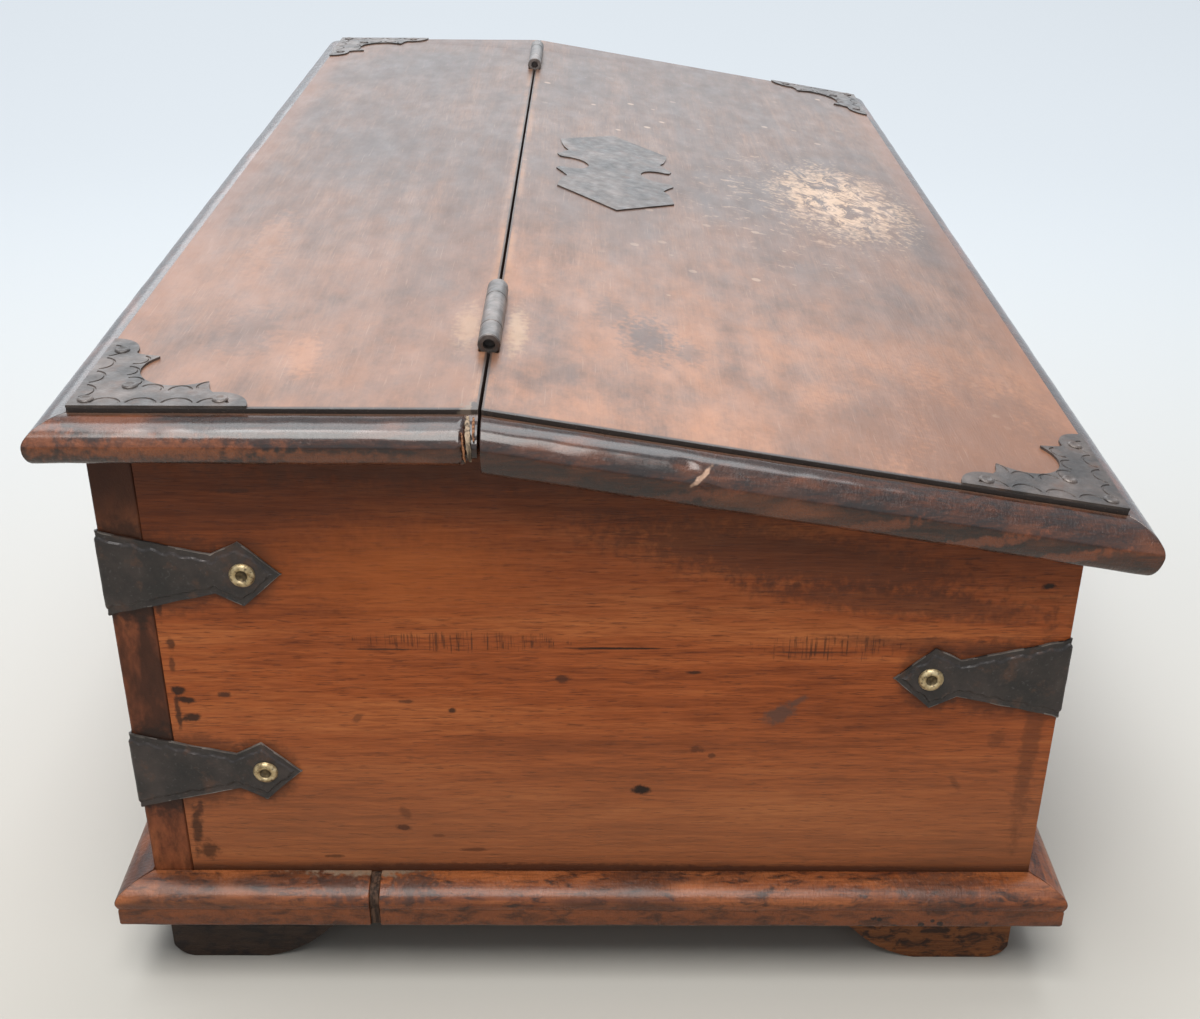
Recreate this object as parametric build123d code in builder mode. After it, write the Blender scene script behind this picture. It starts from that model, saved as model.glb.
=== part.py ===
from build123d import *
import os
from math import cos, radians, sin, sqrt, tan

os.makedirs("parts", exist_ok=True)

# Frame: X along the length of the box, front (the low end of the slope) towards -Y, Z up, floor at 0.
# Millimetres throughout.

# Carcase, driving sizes
carcase_length = 540.5
carcase_depth = 300.0
wall_thickness = 13.5
wall_rise = 159.7
base_height = 16.0
foot_height = 25.5
board_thickness = 14.0
board_overhang = 2.1
fixed_top_depth = 119.0
lid_angle = radians(9.478)
lid_front_overhang = 10.0

# Mouldings, driving sizes
moulding_width = 10.8
moulding_step = 2.2
top_crown_drop = 8.5
lid_crown_drop = 9.2
lid_moulding_drop = 16.6
under_curve = 3.0
base_width = 11.4
base_crown_drop = 5.5
base_bead_drop = 7.6
base_band_width = 10.8
butt_near = 72.0
filler_length = 3.4

# Feet, driving sizes
foot_set_in = 2.0
foot_stock = 15.0
foot_flat = 33.0
foot_reach = 62.0
foot_knee = 55.0
foot_knee_drop = 12.5
foot_corner = 7.0

# Iron fittings, driving sizes
strap_thickness = 1.2
strap_half = 15.0
strap_neck = 33.5
strap_neck_half = 7.25
strap_head = 42.0
strap_head_half = 11.75
strap_tip = 54.5
strap_nail_at = 42.5
back_strap_high = 117.5
back_strap_low = 42.5
front_strap_mid = 80.0
plate_thickness = 1.2
plate_leg = 52.0
lobe_radius = 10.0
plate_notch = 39.5
plate_cusp_far = 37.0
plate_cusp_near = 18.0
bite_centre = 28.0
bite_radius = 13.5
centre_plate_seat = 43.0
centre_plate_shift = 6.6
centre_tip = 61.5
centre_shoulder_along = 39.0
centre_shoulder_across = 25.5
centre_notch_along = 21.5
centre_notch_across = 21.5
centre_cusp_along = 12.0
centre_cusp_across = 26.5
centre_bite_depth = 14.5

# Nails, driving sizes
brass_head_radius = 4.1
brass_head_rise = 2.1
brass_shank_radius = 1.3
iron_head_radius = 2.4
iron_head_rise = 0.7
iron_shank_radius = 1.0
shank_in_wood = 7.0

# Hinges, driving sizes
barrel_radius = 3.6
barrel_length = 52.0
barrel_lift = 2.16
near_barrel_inset = 44.5
far_barrel_inset = 30.4
pin_radius = 1.9
pin_set_back = 3.5
outer_knuckle = 12.5
leaf_thickness = 0.75
leaf_depth = 11.0

# Inside, driving sizes
bottom_thickness = 10.0
bottom_set_up = 3.0
rail_width = 20.0
rail_depth = 24.0
divider_thickness = 8.0
divider_height = 58.0
pen_space = 72.0

# Named clearances
running_clearance = 0.05
knuckle_gap = 0.25
leaf_gap = 0.2
seam_gap = 0.9
seat_clearance = 0.12
barrel_clearance = 0.5

# Levels and faces, derived
half_length = carcase_length / 2
half_board = half_length + board_overhang
base_top = foot_height + base_height
under_board = base_top + wall_rise
top_z = under_board + board_thickness
slope_cos = cos(lid_angle)
slope_sin = sin(lid_angle)
back_reach = carcase_depth / 2 + board_overhang + moulding_width
seam_from_back = fixed_top_depth - board_overhang
lid_length = (carcase_depth - seam_from_back + lid_front_overhang) / slope_cos
front_reach = (
    seam_from_back
    + (lid_length + moulding_width) * slope_cos
    - lid_crown_drop * slope_sin
    - carcase_depth / 2
)
centre_y = (front_reach - back_reach) / 2
back_y = centre_y + carcase_depth / 2
front_y = centre_y - carcase_depth / 2
seam_y = back_y - seam_from_back
seam_half = seam_gap / 2
leaf_back = leaf_gap / 2 + leaf_thickness
inner_half_length = half_length - wall_thickness
inner_back = back_y - wall_thickness
inner_front = front_y + wall_thickness
floor_top = foot_height + bottom_set_up + bottom_thickness
lid_drop = board_thickness / slope_cos


def lid_top_at(y):
    return top_z - (seam_y - y) * tan(lid_angle)


def wall_top_at(y):
    return lid_top_at(y) - lid_drop - seat_clearance


top_frame = Plane(origin=(0, seam_y, top_z), x_dir=(1, 0, 0), z_dir=(0, 0, 1))
lid_frame = Plane(origin=(0, seam_y, top_z), x_dir=(1, 0, 0), z_dir=(0, -slope_sin, slope_cos))
base_frame = Plane(origin=(0, centre_y, base_top), x_dir=(1, 0, 0), z_dir=(0, 0, 1))

# Places of the nails, as (corner side along X, corner side along Y, height)
strap_spots = []
for end_side in (-1, 1):
    strap_spots.append((end_side, 1, base_top + back_strap_high))
    strap_spots.append((end_side, 1, base_top + back_strap_low))
    strap_spots.append((end_side, -1, base_top + front_strap_mid))
plate_nail_spots = (
    (4.2, 4.6),
    (plate_leg - 10.0, 5.0),
    (4.6, plate_leg - 8.5),
    (14.3, 14.8),
)


def corner_y(side):
    return centre_y + side * carcase_depth / 2


def end_nail_place(end_side, side, height):
    return (end_side * half_length, corner_y(side) - side * strap_nail_at, height)


def side_nail_place(end_side, side, height):
    return (end_side * (half_length - strap_nail_at), corner_y(side), height)


def drill(place, outward, radius, depth):
    with BuildSketch(Plane(origin=place, z_dir=outward)) as hole:
        Circle(radius)
    extrude(hole.sketch, amount=-depth, mode=Mode.SUBTRACT)


def add_nail(place, outward, side, lift, head_radius, head_rise, shank_radius):
    start = Vector(*place) + Vector(*outward) * lift
    shank = lift + shank_in_wood
    dome_radius = (head_radius**2 + head_rise**2) / (2 * head_rise)
    half_way = head_radius / 2
    half_rise = sqrt(dome_radius**2 - half_way**2) - dome_radius + head_rise
    nail_plane = Plane(origin=start, x_dir=side, z_dir=Vector(*side).cross(Vector(*outward)))
    with BuildSketch(nail_plane) as half:
        with BuildLine():
            Polyline(
                (0, head_rise),
                (0, -shank),
                (shank_radius, -shank),
                (shank_radius, 0),
                (head_radius, 0),
            )
            ThreePointArc((head_radius, 0), (half_way, half_rise), (0, head_rise))
        make_face()
    revolve(half.sketch, axis=Axis(start, outward))


def crown_run(plane, crown_drop, under_drop, length):
    width = moulding_width
    with BuildSketch(plane) as profile:
        with BuildLine():
            Line((0, -under_drop), (0, -moulding_step))
            EllipticalCenterArc(
                (0, -crown_drop), width, crown_drop - moulding_step, start_angle=0, arc_size=90
            )
            EllipticalCenterArc(
                (width - under_curve, -crown_drop),
                under_curve,
                under_drop - crown_drop,
                start_angle=270,
                arc_size=90,
            )
            Line((width - under_curve, -under_drop), (0, -under_drop))
        make_face()
    extrude(profile.sketch, amount=length)


def edge_plane(frame, spot, outward):
    direction = frame.from_local_coords(Vector(*outward)) - frame.origin
    return Plane(
        origin=frame.from_local_coords(Vector(*spot)),
        x_dir=direction,
        z_dir=direction.cross(frame.z_dir),
    )


def mitre_plane(frame, spot, keep_towards):
    direction = frame.from_local_coords(Vector(*keep_towards)) - frame.origin
    return Plane(origin=frame.from_local_coords(Vector(*spot)), x_dir=frame.z_dir, z_dir=direction)


# End walls run from the front face to the back wall; their top edges follow the top and the slope
def end_wall_solid(end_side):
    start_x = -half_length if end_side < 0 else inner_half_length
    with BuildSketch(Plane.YZ.offset(start_x)) as outline:
        with BuildLine():
            Polyline(
                (front_y, foot_height),
                (inner_back, foot_height),
                (inner_back, under_board),
                (seam_y, under_board),
                (seam_y, wall_top_at(seam_y)),
                (front_y, wall_top_at(front_y)),
                close=True,
            )
        make_face()
    extrude(outline.sketch, amount=wall_thickness)
    for spot in strap_spots:
        if spot[0] == end_side:
            drill(end_nail_place(*spot), (end_side, 0, 0), brass_shank_radius, shank_in_wood)


with BuildPart() as end_wall_left:
    end_wall_solid(-1)
with BuildPart() as end_wall_right:
    end_wall_solid(1)

# Back wall runs the full length and shows its end grain beside the end walls
with BuildPart() as back_wall:
    with BuildSketch(Plane.XY.offset(foot_height)):
        with Locations((0, back_y - wall_thickness / 2)):
            Rectangle(carcase_length, wall_thickness)
    extrude(amount=under_board - foot_height)
    for spot in strap_spots:
        if spot[1] > 0:
            drill(side_nail_place(*spot), (0, 1, 0), brass_shank_radius, shank_in_wood)
            drill(end_nail_place(*spot), (spot[0], 0, 0), brass_shank_radius, shank_in_wood)

# Front wall is housed between the end walls
with BuildPart() as front_wall:
    with BuildSketch(Plane.YZ.offset(-inner_half_length)):
        with BuildLine():
            Polyline(
                (front_y, foot_height),
                (inner_front, foot_height),
                (inner_front, wall_top_at(inner_front)),
                (front_y, wall_top_at(front_y)),
                close=True,
            )
        make_face()
    extrude(amount=2 * inner_half_length)
    for spot in strap_spots:
        if spot[1] < 0:
            drill(side_nail_place(*spot), (0, -1, 0), brass_shank_radius, shank_in_wood)

with BuildPart() as bottom_board:
    with BuildSketch(Plane.XY.offset(floor_top - bottom_thickness)):
        with Locations((0, (inner_front + inner_back) / 2)):
            Rectangle(2 * inner_half_length, inner_back - inner_front)
    extrude(amount=bottom_thickness)

# Rail under the front edge of the fixed top, between the end walls
rail_front = seam_y + seam_half
with BuildPart() as seam_rail:
    with BuildSketch(Plane.XY.offset(under_board - rail_depth)):
        with Locations((0, rail_front + rail_width / 2)):
            Rectangle(2 * inner_half_length, rail_width)
    extrude(amount=rail_depth)

# Low partition that keeps a pen space at one end of the well
divider_x = -inner_half_length + pen_space
with BuildPart() as pen_divider:
    with BuildSketch(Plane.XY.offset(floor_top)):
        with Locations((divider_x + divider_thickness / 2, (inner_front + inner_back) / 2)):
            Rectangle(divider_thickness, inner_back - inner_front)
    extrude(amount=divider_height)

# Fixed top and lid boards, notched where the hinge barrels lie in the seam
hinge_centres = [
    near_barrel_inset + barrel_length / 2 - half_board,
    half_board - far_barrel_inset - barrel_length / 2,
]
axis_z = top_z + barrel_lift


def barrel_notches(direction):
    notch = barrel_radius + barrel_clearance
    for hinge_x in hinge_centres:
        with BuildSketch(Plane.XY.offset(axis_z - notch)) as gap:
            with Locations((hinge_x, seam_y + direction * notch / 2)):
                Rectangle(barrel_length + 2 * barrel_clearance, notch)
        extrude(gap.sketch, amount=2 * notch, mode=Mode.SUBTRACT)
        # the leaf is let into the edge of the board
        with BuildSketch(Plane.XY.offset(top_z - leaf_depth - seat_clearance)) as recess:
            with Locations((hinge_x, seam_y + direction * leaf_back / 2)):
                Rectangle(barrel_length + 2 * seat_clearance, leaf_back)
        extrude(recess.sketch, amount=leaf_depth + seat_clearance, mode=Mode.SUBTRACT)


def top_point(end_side, u, v):
    return (end_side * (half_board - u), back_y + board_overhang - v, top_z)


def lid_point(end_side, u, v):
    return lid_frame.from_local_coords(Vector(end_side * (half_board - u), -lid_length + v, 0))


with BuildPart() as fixed_top:
    with BuildSketch(Plane.XY.offset(under_board)):
        with Locations((0, (seam_y + seam_half + back_y + board_overhang) / 2)):
            Rectangle(2 * half_board, back_y + board_overhang - seam_y - seam_half)
    extrude(amount=board_thickness)
    barrel_notches(1)
    for end_side in (-1, 1):
        for u, v in plate_nail_spots:
            drill(top_point(end_side, u, v), (0, 0, 1), iron_shank_radius, shank_in_wood)

lid_normal = (0, -slope_sin, slope_cos)
lid_front_top = lid_frame.from_local_coords(Vector(0, -lid_length, 0))
lid_front_under = lid_frame.from_local_coords(Vector(0, -lid_length, -board_thickness))
with BuildPart() as lid_board:
    with BuildSketch(Plane.YZ.offset(-half_board)):
        with BuildLine():
            Polyline(
                (lid_front_top.Y, lid_front_top.Z),
                (seam_y - seam_half, lid_top_at(seam_y - seam_half)),
                (seam_y - seam_half, lid_top_at(seam_y - seam_half) - lid_drop),
                (lid_front_under.Y, lid_front_under.Z),
                close=True,
            )
        make_face()
    extrude(amount=2 * half_board)
    barrel_notches(-1)
    for end_side in (-1, 1):
        for u, v in plate_nail_spots:
            drill(lid_point(end_side, u, v), lid_normal, iron_shank_radius, shank_in_wood)

# Crown mouldings: mitred at the two back corners of the top and the two front corners of the lid
top_edge = fixed_top_depth
with BuildPart() as top_moulding_back:
    crown_run(
        edge_plane(top_frame, (-half_board - moulding_width, top_edge, 0), (0, 1, 0)),
        top_crown_drop,
        board_thickness,
        2 * (half_board + moulding_width),
    )
    split(bisect_by=mitre_plane(top_frame, (-half_board, top_edge, 0), (1, 1, 0)), keep=Keep.TOP)
    split(bisect_by=mitre_plane(top_frame, (half_board, top_edge, 0), (-1, 1, 0)), keep=Keep.TOP)

with BuildPart() as top_moulding_left:
    crown_run(
        edge_plane(top_frame, (-half_board, seam_half, 0), (-1, 0, 0)),
        top_crown_drop,
        board_thickness,
        top_edge + moulding_width - seam_half,
    )
    split(bisect_by=mitre_plane(top_frame, (-half_board, top_edge, 0), (-1, -1, 0)), keep=Keep.TOP)

with BuildPart() as top_moulding_right:
    crown_run(
        edge_plane(top_frame, (half_board, top_edge + moulding_width, 0), (1, 0, 0)),
        top_crown_drop,
        board_thickness,
        top_edge + moulding_width - seam_half,
    )
    split(bisect_by=mitre_plane(top_frame, (half_board, top_edge, 0), (1, -1, 0)), keep=Keep.TOP)

seam_cut = Plane(origin=(0, seam_y - seam_half, top_z), x_dir=(1, 0, 0), z_dir=(0, -1, 0))
lid_edge = -lid_length
with BuildPart() as lid_moulding_front:
    crown_run(
        edge_plane(lid_frame, (half_board + moulding_width, lid_edge, 0), (0, -1, 0)),
        lid_crown_drop,
        lid_moulding_drop,
        2 * (half_board + moulding_width),
    )
    split(bisect_by=mitre_plane(lid_frame, (-half_board, lid_edge, 0), (1, -1, 0)), keep=Keep.TOP)
    split(bisect_by=mitre_plane(lid_frame, (half_board, lid_edge, 0), (-1, -1, 0)), keep=Keep.TOP)

with BuildPart() as lid_moulding_left:
    crown_run(
        edge_plane(lid_frame, (-half_board, lid_edge - moulding_width, 0), (-1, 0, 0)),
        lid_crown_drop,
        lid_moulding_drop,
        lid_length + moulding_width + 5.0,
    )
    split(bisect_by=seam_cut, keep=Keep.TOP)
    split(bisect_by=mitre_plane(lid_frame, (-half_board, lid_edge, 0), (-1, 1, 0)), keep=Keep.TOP)

with BuildPart() as lid_moulding_right:
    crown_run(
        edge_plane(lid_frame, (half_board, 5.0, 0), (1, 0, 0)),
        lid_crown_drop,
        lid_moulding_drop,
        lid_length + moulding_width + 5.0,
    )
    split(bisect_by=seam_cut, keep=Keep.TOP)
    split(bisect_by=mitre_plane(lid_frame, (half_board, lid_edge, 0), (1, 1, 0)), keep=Keep.TOP)

# Base mouldings, mitred; the one on the left end is two lengths with a small filler between them
half_depth = carcase_depth / 2
run_x = 2 * (half_length + base_width)
run_y = 2 * (half_depth + base_width)


def base_run(spot, outward, length):
    with BuildSketch(edge_plane(base_frame, spot, outward)) as profile:
        with BuildLine():
            Line((0, -base_height), (0, 0))
            Line((0, 0), (1.2, 0))
            EllipticalCenterArc(
                (1.2, -base_crown_drop), base_width - 1.2, base_crown_drop, start_angle=0, arc_size=90
            )
            Polyline(
                (base_width, -base_crown_drop),
                (base_width, -base_bead_drop + 0.6),
                (base_band_width - 0.7, -base_bead_drop),
                (base_band_width, -base_bead_drop - 0.7),
                (base_band_width, -base_height),
                (0, -base_height),
            )
        make_face()
    extrude(profile.sketch, amount=length)


def base_mitre(end_side, side, towards):
    corner = (end_side * half_length, side * half_depth, 0)
    split(bisect_by=mitre_plane(base_frame, corner, towards), keep=Keep.TOP)


with BuildPart() as base_moulding_back:
    base_run((-run_x / 2, half_depth, 0), (0, 1, 0), run_x)
    base_mitre(-1, 1, (1, 1, 0))
    base_mitre(1, 1, (-1, 1, 0))

with BuildPart() as base_moulding_front:
    base_run((run_x / 2, -half_depth, 0), (0, -1, 0), run_x)
    base_mitre(-1, -1, (1, -1, 0))
    base_mitre(1, -1, (-1, -1, 0))

with BuildPart() as base_moulding_right:
    base_run((half_length, run_y / 2, 0), (1, 0, 0), run_y)
    base_mitre(1, 1, (1, -1, 0))
    base_mitre(1, -1, (1, 1, 0))

with BuildPart() as base_moulding_left_long:
    base_run((-half_length, -run_y / 2, 0), (-1, 0, 0), run_y / 2 + butt_near)
    base_mitre(-1, -1, (-1, 1, 0))

with BuildPart() as base_moulding_left_filler:
    base_run((-half_length, butt_near, 0), (-1, 0, 0), filler_length)

with BuildPart() as base_moulding_left_short:
    short_start = butt_near + filler_length
    base_run((-half_length, short_start, 0), (-1, 0, 0), run_y / 2 - short_start)
    base_mitre(-1, 1, (-1, -1, 0))


# Bracket feet: at each corner two shaped pieces meet in a mitre
def foot_board(plane, outer, direction):
    def at(along, height):
        return (outer - direction * along, height)

    with BuildSketch(plane) as outline:
        with BuildLine():
            Polyline(
                at(foot_reach, foot_height),
                at(0, foot_height),
                at(0, foot_corner + 4.0),
            )
            ThreePointArc(
                at(0, foot_corner + 4.0),
                at(foot_corner * 0.22, foot_corner * 0.42),
                at(foot_corner, 0),
            )
            Line(at(foot_corner, 0), at(foot_flat, 0))
            ThreePointArc(
                at(foot_flat, 0),
                at((foot_flat + foot_knee) / 2 + 2.0, foot_knee_drop * 0.40),
                at(foot_knee, foot_knee_drop),
            )
            ThreePointArc(
                at(foot_knee, foot_knee_drop),
                at(foot_reach - 1.6, (foot_knee_drop + foot_height) / 2),
                at(foot_reach, foot_height),
            )
        make_face()
    extrude(outline.sketch, amount=foot_stock)


def foot_piece(end_side, side, along_end):
    foot_x = end_side * (half_length - foot_set_in)
    foot_y = centre_y + side * (half_depth - foot_set_in)
    if along_end:
        start = foot_x if end_side < 0 else foot_x - foot_stock
        foot_board(Plane.YZ.offset(start), foot_y, side)
        towards = (end_side, -side, 0)
    else:
        start = foot_y if side < 0 else foot_y - foot_stock
        foot_board(Plane(origin=(0, start, 0), x_dir=(-1, 0, 0), z_dir=(0, 1, 0)), -foot_x, -end_side)
        towards = (-end_side, side, 0)
    split(
        bisect_by=Plane(origin=(foot_x, foot_y, 0), x_dir=(0, 0, 1), z_dir=towards),
        keep=Keep.TOP,
    )


with BuildPart() as foot_back_left_end:
    foot_piece(-1, 1, True)
with BuildPart() as foot_back_left_side:
    foot_piece(-1, 1, False)
with BuildPart() as foot_front_left_end:
    foot_piece(-1, -1, True)
with BuildPart() as foot_front_left_side:
    foot_piece(-1, -1, False)
with BuildPart() as foot_back_right_end:
    foot_piece(1, 1, True)
with BuildPart() as foot_back_right_side:
    foot_piece(1, 1, False)
with BuildPart() as foot_front_right_end:
    foot_piece(1, -1, True)
with BuildPart() as foot_front_right_side:
    foot_piece(1, -1, False)


# Corner straps: an iron band bent round the corner, each leg ending in an arrow head
def strap_leg(plane, start):
    with BuildSketch(plane) as outline:
        with BuildLine():
            Polyline(
                (0, -strap_half),
                (strap_neck, -strap_neck_half),
                (strap_head, -strap_head_half),
                (strap_tip, 0),
                (strap_head, strap_head_half),
                (strap_neck, strap_neck_half),
                (0, strap_half),
                close=True,
            )
        make_face()
        if start < 0:
            with Locations((start / 2, 0)):
                Rectangle(-start, 2 * strap_half)
    extrude(outline.sketch, amount=strap_thickness)


def strap_solid(end_side, side, height):
    corner = (end_side * half_length, corner_y(side), height)
    strap_leg(Plane(origin=corner, x_dir=(0, -side, 0), z_dir=(end_side, 0, 0)), -strap_thickness)
    strap_leg(Plane(origin=corner, x_dir=(-end_side, 0, 0), z_dir=(0, side, 0)), 0)
    drill_from = strap_thickness
    end_place = Vector(*end_nail_place(end_side, side, height)) + Vector(end_side, 0, 0) * drill_from
    side_place = Vector(*side_nail_place(end_side, side, height)) + Vector(0, side, 0) * drill_from
    drill(end_place, (end_side, 0, 0), brass_shank_radius, strap_thickness)
    drill(side_place, (0, side, 0), brass_shank_radius, strap_thickness)


with BuildPart() as strap_left_back_high:
    strap_solid(*strap_spots[0])
with BuildPart() as strap_left_back_low:
    strap_solid(*strap_spots[1])
with BuildPart() as strap_left_front:
    strap_solid(*strap_spots[2])
with BuildPart() as strap_right_back_high:
    strap_solid(*strap_spots[3])
with BuildPart() as strap_right_back_low:
    strap_solid(*strap_spots[4])
with BuildPart() as strap_right_front:
    strap_solid(*strap_spots[5])


# Brass dome nails through the arrow heads
def strap_nails(wanted, on_end):
    for spot in strap_spots:
        if not wanted(spot):
            continue
        if on_end:
            place, outward, side = end_nail_place(*spot), (spot[0], 0, 0), (0, 1, 0)
        else:
            place, outward, side = side_nail_place(*spot), (0, spot[1], 0), (1, 0, 0)
        add_nail(
            place, outward, side, strap_thickness, brass_head_radius, brass_head_rise, brass_shank_radius
        )


with BuildPart() as nails_left_end:
    strap_nails(lambda spot: spot[0] < 0, True)
with BuildPart() as nails_right_end:
    strap_nails(lambda spot: spot[0] > 0, True)
with BuildPart() as nails_back:
    strap_nails(lambda spot: spot[1] > 0, False)
with BuildPart() as nails_front:
    strap_nails(lambda spot: spot[1] < 0, False)


# Corner plates with two lobed legs and a round bite
def plate_body(plane):
    near_bite = bite_centre - bite_radius / sqrt(2)
    lobe_x = plate_leg - lobe_radius
    with BuildSketch(plane) as outline:
        with BuildLine():
            Polyline((0, plate_leg), (0, 0), (plate_leg, 0))
            ThreePointArc(
                (plate_leg, 0),
                (lobe_x + lobe_radius * 0.62, lobe_radius * 0.785),
                (plate_notch, 9.6),
            )
            Line((plate_notch, 9.6), (plate_cusp_far, plate_cusp_near))
            ThreePointArc(
                (plate_cusp_far, plate_cusp_near),
                (near_bite, near_bite),
                (plate_cusp_near, plate_cusp_far),
            )
            Line((plate_cusp_near, plate_cusp_far), (9.6, plate_notch))
            ThreePointArc(
                (9.6, plate_notch),
                (lobe_radius * 0.785, lobe_x + lobe_radius * 0.62),
                (0, plate_leg),
            )
        make_face()
    extrude(outline.sketch, amount=plate_thickness)


def plate_plane(frame, end_side, edge, inward_y):
    corner = frame.from_local_coords(Vector(end_side * half_board, edge, 0))
    along = Vector(-end_side, 0, 0)
    across = frame.from_local_coords(Vector(0, inward_y, 0)) - frame.origin
    if end_side * inward_y < 0:
        return Plane(origin=corner, x_dir=along, z_dir=along.cross(across))
    return Plane(origin=corner, x_dir=across, z_dir=across.cross(along))


def corner_plate(frame, end_side, edge, inward_y, place):
    plate_body(plate_plane(frame, end_side, edge, inward_y))
    outward = frame.z_dir
    for u, v in plate_nail_spots:
        spot = Vector(*place(end_side, u, v)) + outward * plate_thickness
        drill(spot, outward, iron_shank_radius, plate_thickness)


with BuildPart() as top_plate_left:
    corner_plate(top_frame, -1, top_edge, -1, top_point)
with BuildPart() as top_plate_right:
    corner_plate(top_frame, 1, top_edge, -1, top_point)
with BuildPart() as lid_plate_left:
    corner_plate(lid_frame, -1, lid_edge, 1, lid_point)
with BuildPart() as lid_plate_right:
    corner_plate(lid_frame, 1, lid_edge, 1, lid_point)


def plate_nails(frame, place):
    normal = (frame.z_dir.X, frame.z_dir.Y, frame.z_dir.Z)
    for end_side in (-1, 1):
        for u, v in plate_nail_spots:
            spot = Vector(*place(end_side, u, v))
            add_nail(
                (spot.X, spot.Y, spot.Z),
                normal,
                (1, 0, 0),
                plate_thickness,
                iron_head_radius,
                iron_head_rise,
                iron_shank_radius,
            )


with BuildPart() as nails_top_plates:
    plate_nails(top_frame, top_point)
with BuildPart() as nails_lid_plates:
    plate_nails(lid_frame, lid_point)

# Long plate on the lid by the seam, with a round bite in each long side
centre_plane = Plane(
    origin=lid_frame.from_local_coords(Vector(centre_plate_shift, -centre_plate_seat, 0)),
    x_dir=(1, 0, 0),
    z_dir=lid_frame.z_dir,
)
with BuildPart() as centre_plate:
    with BuildSketch(centre_plane):
        with BuildLine():
            for side in (-1, 1):
                for way in (-1, 1):
                    Polyline(
                        (way * centre_tip, 0),
                        (way * centre_shoulder_along, side * centre_shoulder_across),
                        (way * centre_notch_along, side * centre_notch_across),
                        (way * centre_cusp_along, side * centre_cusp_across),
                        (way * (centre_cusp_along - 3.5), side * (centre_cusp_across - 3.0)),
                    )
                ThreePointArc(
                    (-centre_cusp_along + 3.5, side * (centre_cusp_across - 3.0)),
                    (0, side * (centre_cusp_across - centre_bite_depth)),
                    (centre_cusp_along - 3.5, side * (centre_cusp_across - 3.0)),
                )
        make_face()
    extrude(amount=plate_thickness)


# Hinges: leaves let into the edges and face to face, barrel of three knuckles lying proud of the top
def knuckle(hinge_x, start, length, bore):
    with BuildSketch(Plane.YZ.offset(hinge_x + start)) as ring:
        with Locations((seam_y, axis_z)):
            Circle(barrel_radius)
            Circle(bore, mode=Mode.SUBTRACT)
    extrude(ring.sketch, amount=length)


def leaf(hinge_x, direction, start, length, top_gap):
    low = top_z - leaf_depth
    high = axis_z - top_gap
    with BuildSketch(Plane.YZ.offset(hinge_x + start)) as strip:
        with Locations((seam_y + direction * (leaf_gap / 2 + leaf_thickness / 2), (low + high) / 2)):
            Rectangle(leaf_thickness, high - low)
    extrude(strip.sketch, amount=length)


half_barrel = barrel_length / 2
inner_start = -half_barrel + outer_knuckle
inner_length = barrel_length - 2 * outer_knuckle
clear_of_barrel = barrel_radius + 0.3
into_barrel = barrel_radius - 0.8


def fixed_leaf(hinge_x):
    knuckle(hinge_x, -half_barrel, outer_knuckle, pin_radius)
    knuckle(hinge_x, half_barrel - outer_knuckle, outer_knuckle, pin_radius)
    leaf(hinge_x, 1, -half_barrel, barrel_length, clear_of_barrel)
    leaf(hinge_x, 1, -half_barrel, outer_knuckle, into_barrel)
    leaf(hinge_x, 1, half_barrel - outer_knuckle, outer_knuckle, into_barrel)


def lid_leaf(hinge_x):
    middle_start = inner_start + knuckle_gap
    middle_length = inner_length - 2 * knuckle_gap
    knuckle(hinge_x, middle_start, middle_length, pin_radius + running_clearance)
    leaf(hinge_x, -1, -half_barrel, barrel_length, clear_of_barrel)
    leaf(hinge_x, -1, middle_start, middle_length, into_barrel)


def hinge_pin(hinge_x):
    with BuildSketch(Plane.YZ.offset(hinge_x - half_barrel + pin_set_back)) as core:
        with Locations((seam_y, axis_z)):
            Circle(pin_radius)
    extrude(core.sketch, amount=barrel_length - 2 * pin_set_back)


with BuildPart() as hinge_left_fixed_leaf:
    fixed_leaf(hinge_centres[0])
with BuildPart() as hinge_left_lid_leaf:
    lid_leaf(hinge_centres[0])
with BuildPart() as hinge_left_pin:
    hinge_pin(hinge_centres[0])
with BuildPart() as hinge_right_fixed_leaf:
    fixed_leaf(hinge_centres[1])
with BuildPart() as hinge_right_lid_leaf:
    lid_leaf(hinge_centres[1])
with BuildPart() as hinge_right_pin:
    hinge_pin(hinge_centres[1])

end_wall_left.part.label = "end_wall_left"
export_step(end_wall_left.part, "parts/end_wall_left.step")
end_wall_right.part.label = "end_wall_right"
export_step(end_wall_right.part, "parts/end_wall_right.step")
back_wall.part.label = "back_wall"
export_step(back_wall.part, "parts/back_wall.step")
front_wall.part.label = "front_wall"
export_step(front_wall.part, "parts/front_wall.step")
bottom_board.part.label = "bottom_board"
export_step(bottom_board.part, "parts/bottom_board.step")
seam_rail.part.label = "seam_rail"
export_step(seam_rail.part, "parts/seam_rail.step")
pen_divider.part.label = "pen_divider"
export_step(pen_divider.part, "parts/pen_divider.step")
fixed_top.part.label = "fixed_top"
export_step(fixed_top.part, "parts/fixed_top.step")
lid_board.part.label = "lid_board"
export_step(lid_board.part, "parts/lid_board.step")
top_moulding_back.part.label = "top_moulding_back"
export_step(top_moulding_back.part, "parts/top_moulding_back.step")
top_moulding_left.part.label = "top_moulding_left"
export_step(top_moulding_left.part, "parts/top_moulding_left.step")
top_moulding_right.part.label = "top_moulding_right"
export_step(top_moulding_right.part, "parts/top_moulding_right.step")
lid_moulding_front.part.label = "lid_moulding_front"
export_step(lid_moulding_front.part, "parts/lid_moulding_front.step")
lid_moulding_left.part.label = "lid_moulding_left"
export_step(lid_moulding_left.part, "parts/lid_moulding_left.step")
lid_moulding_right.part.label = "lid_moulding_right"
export_step(lid_moulding_right.part, "parts/lid_moulding_right.step")
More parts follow.
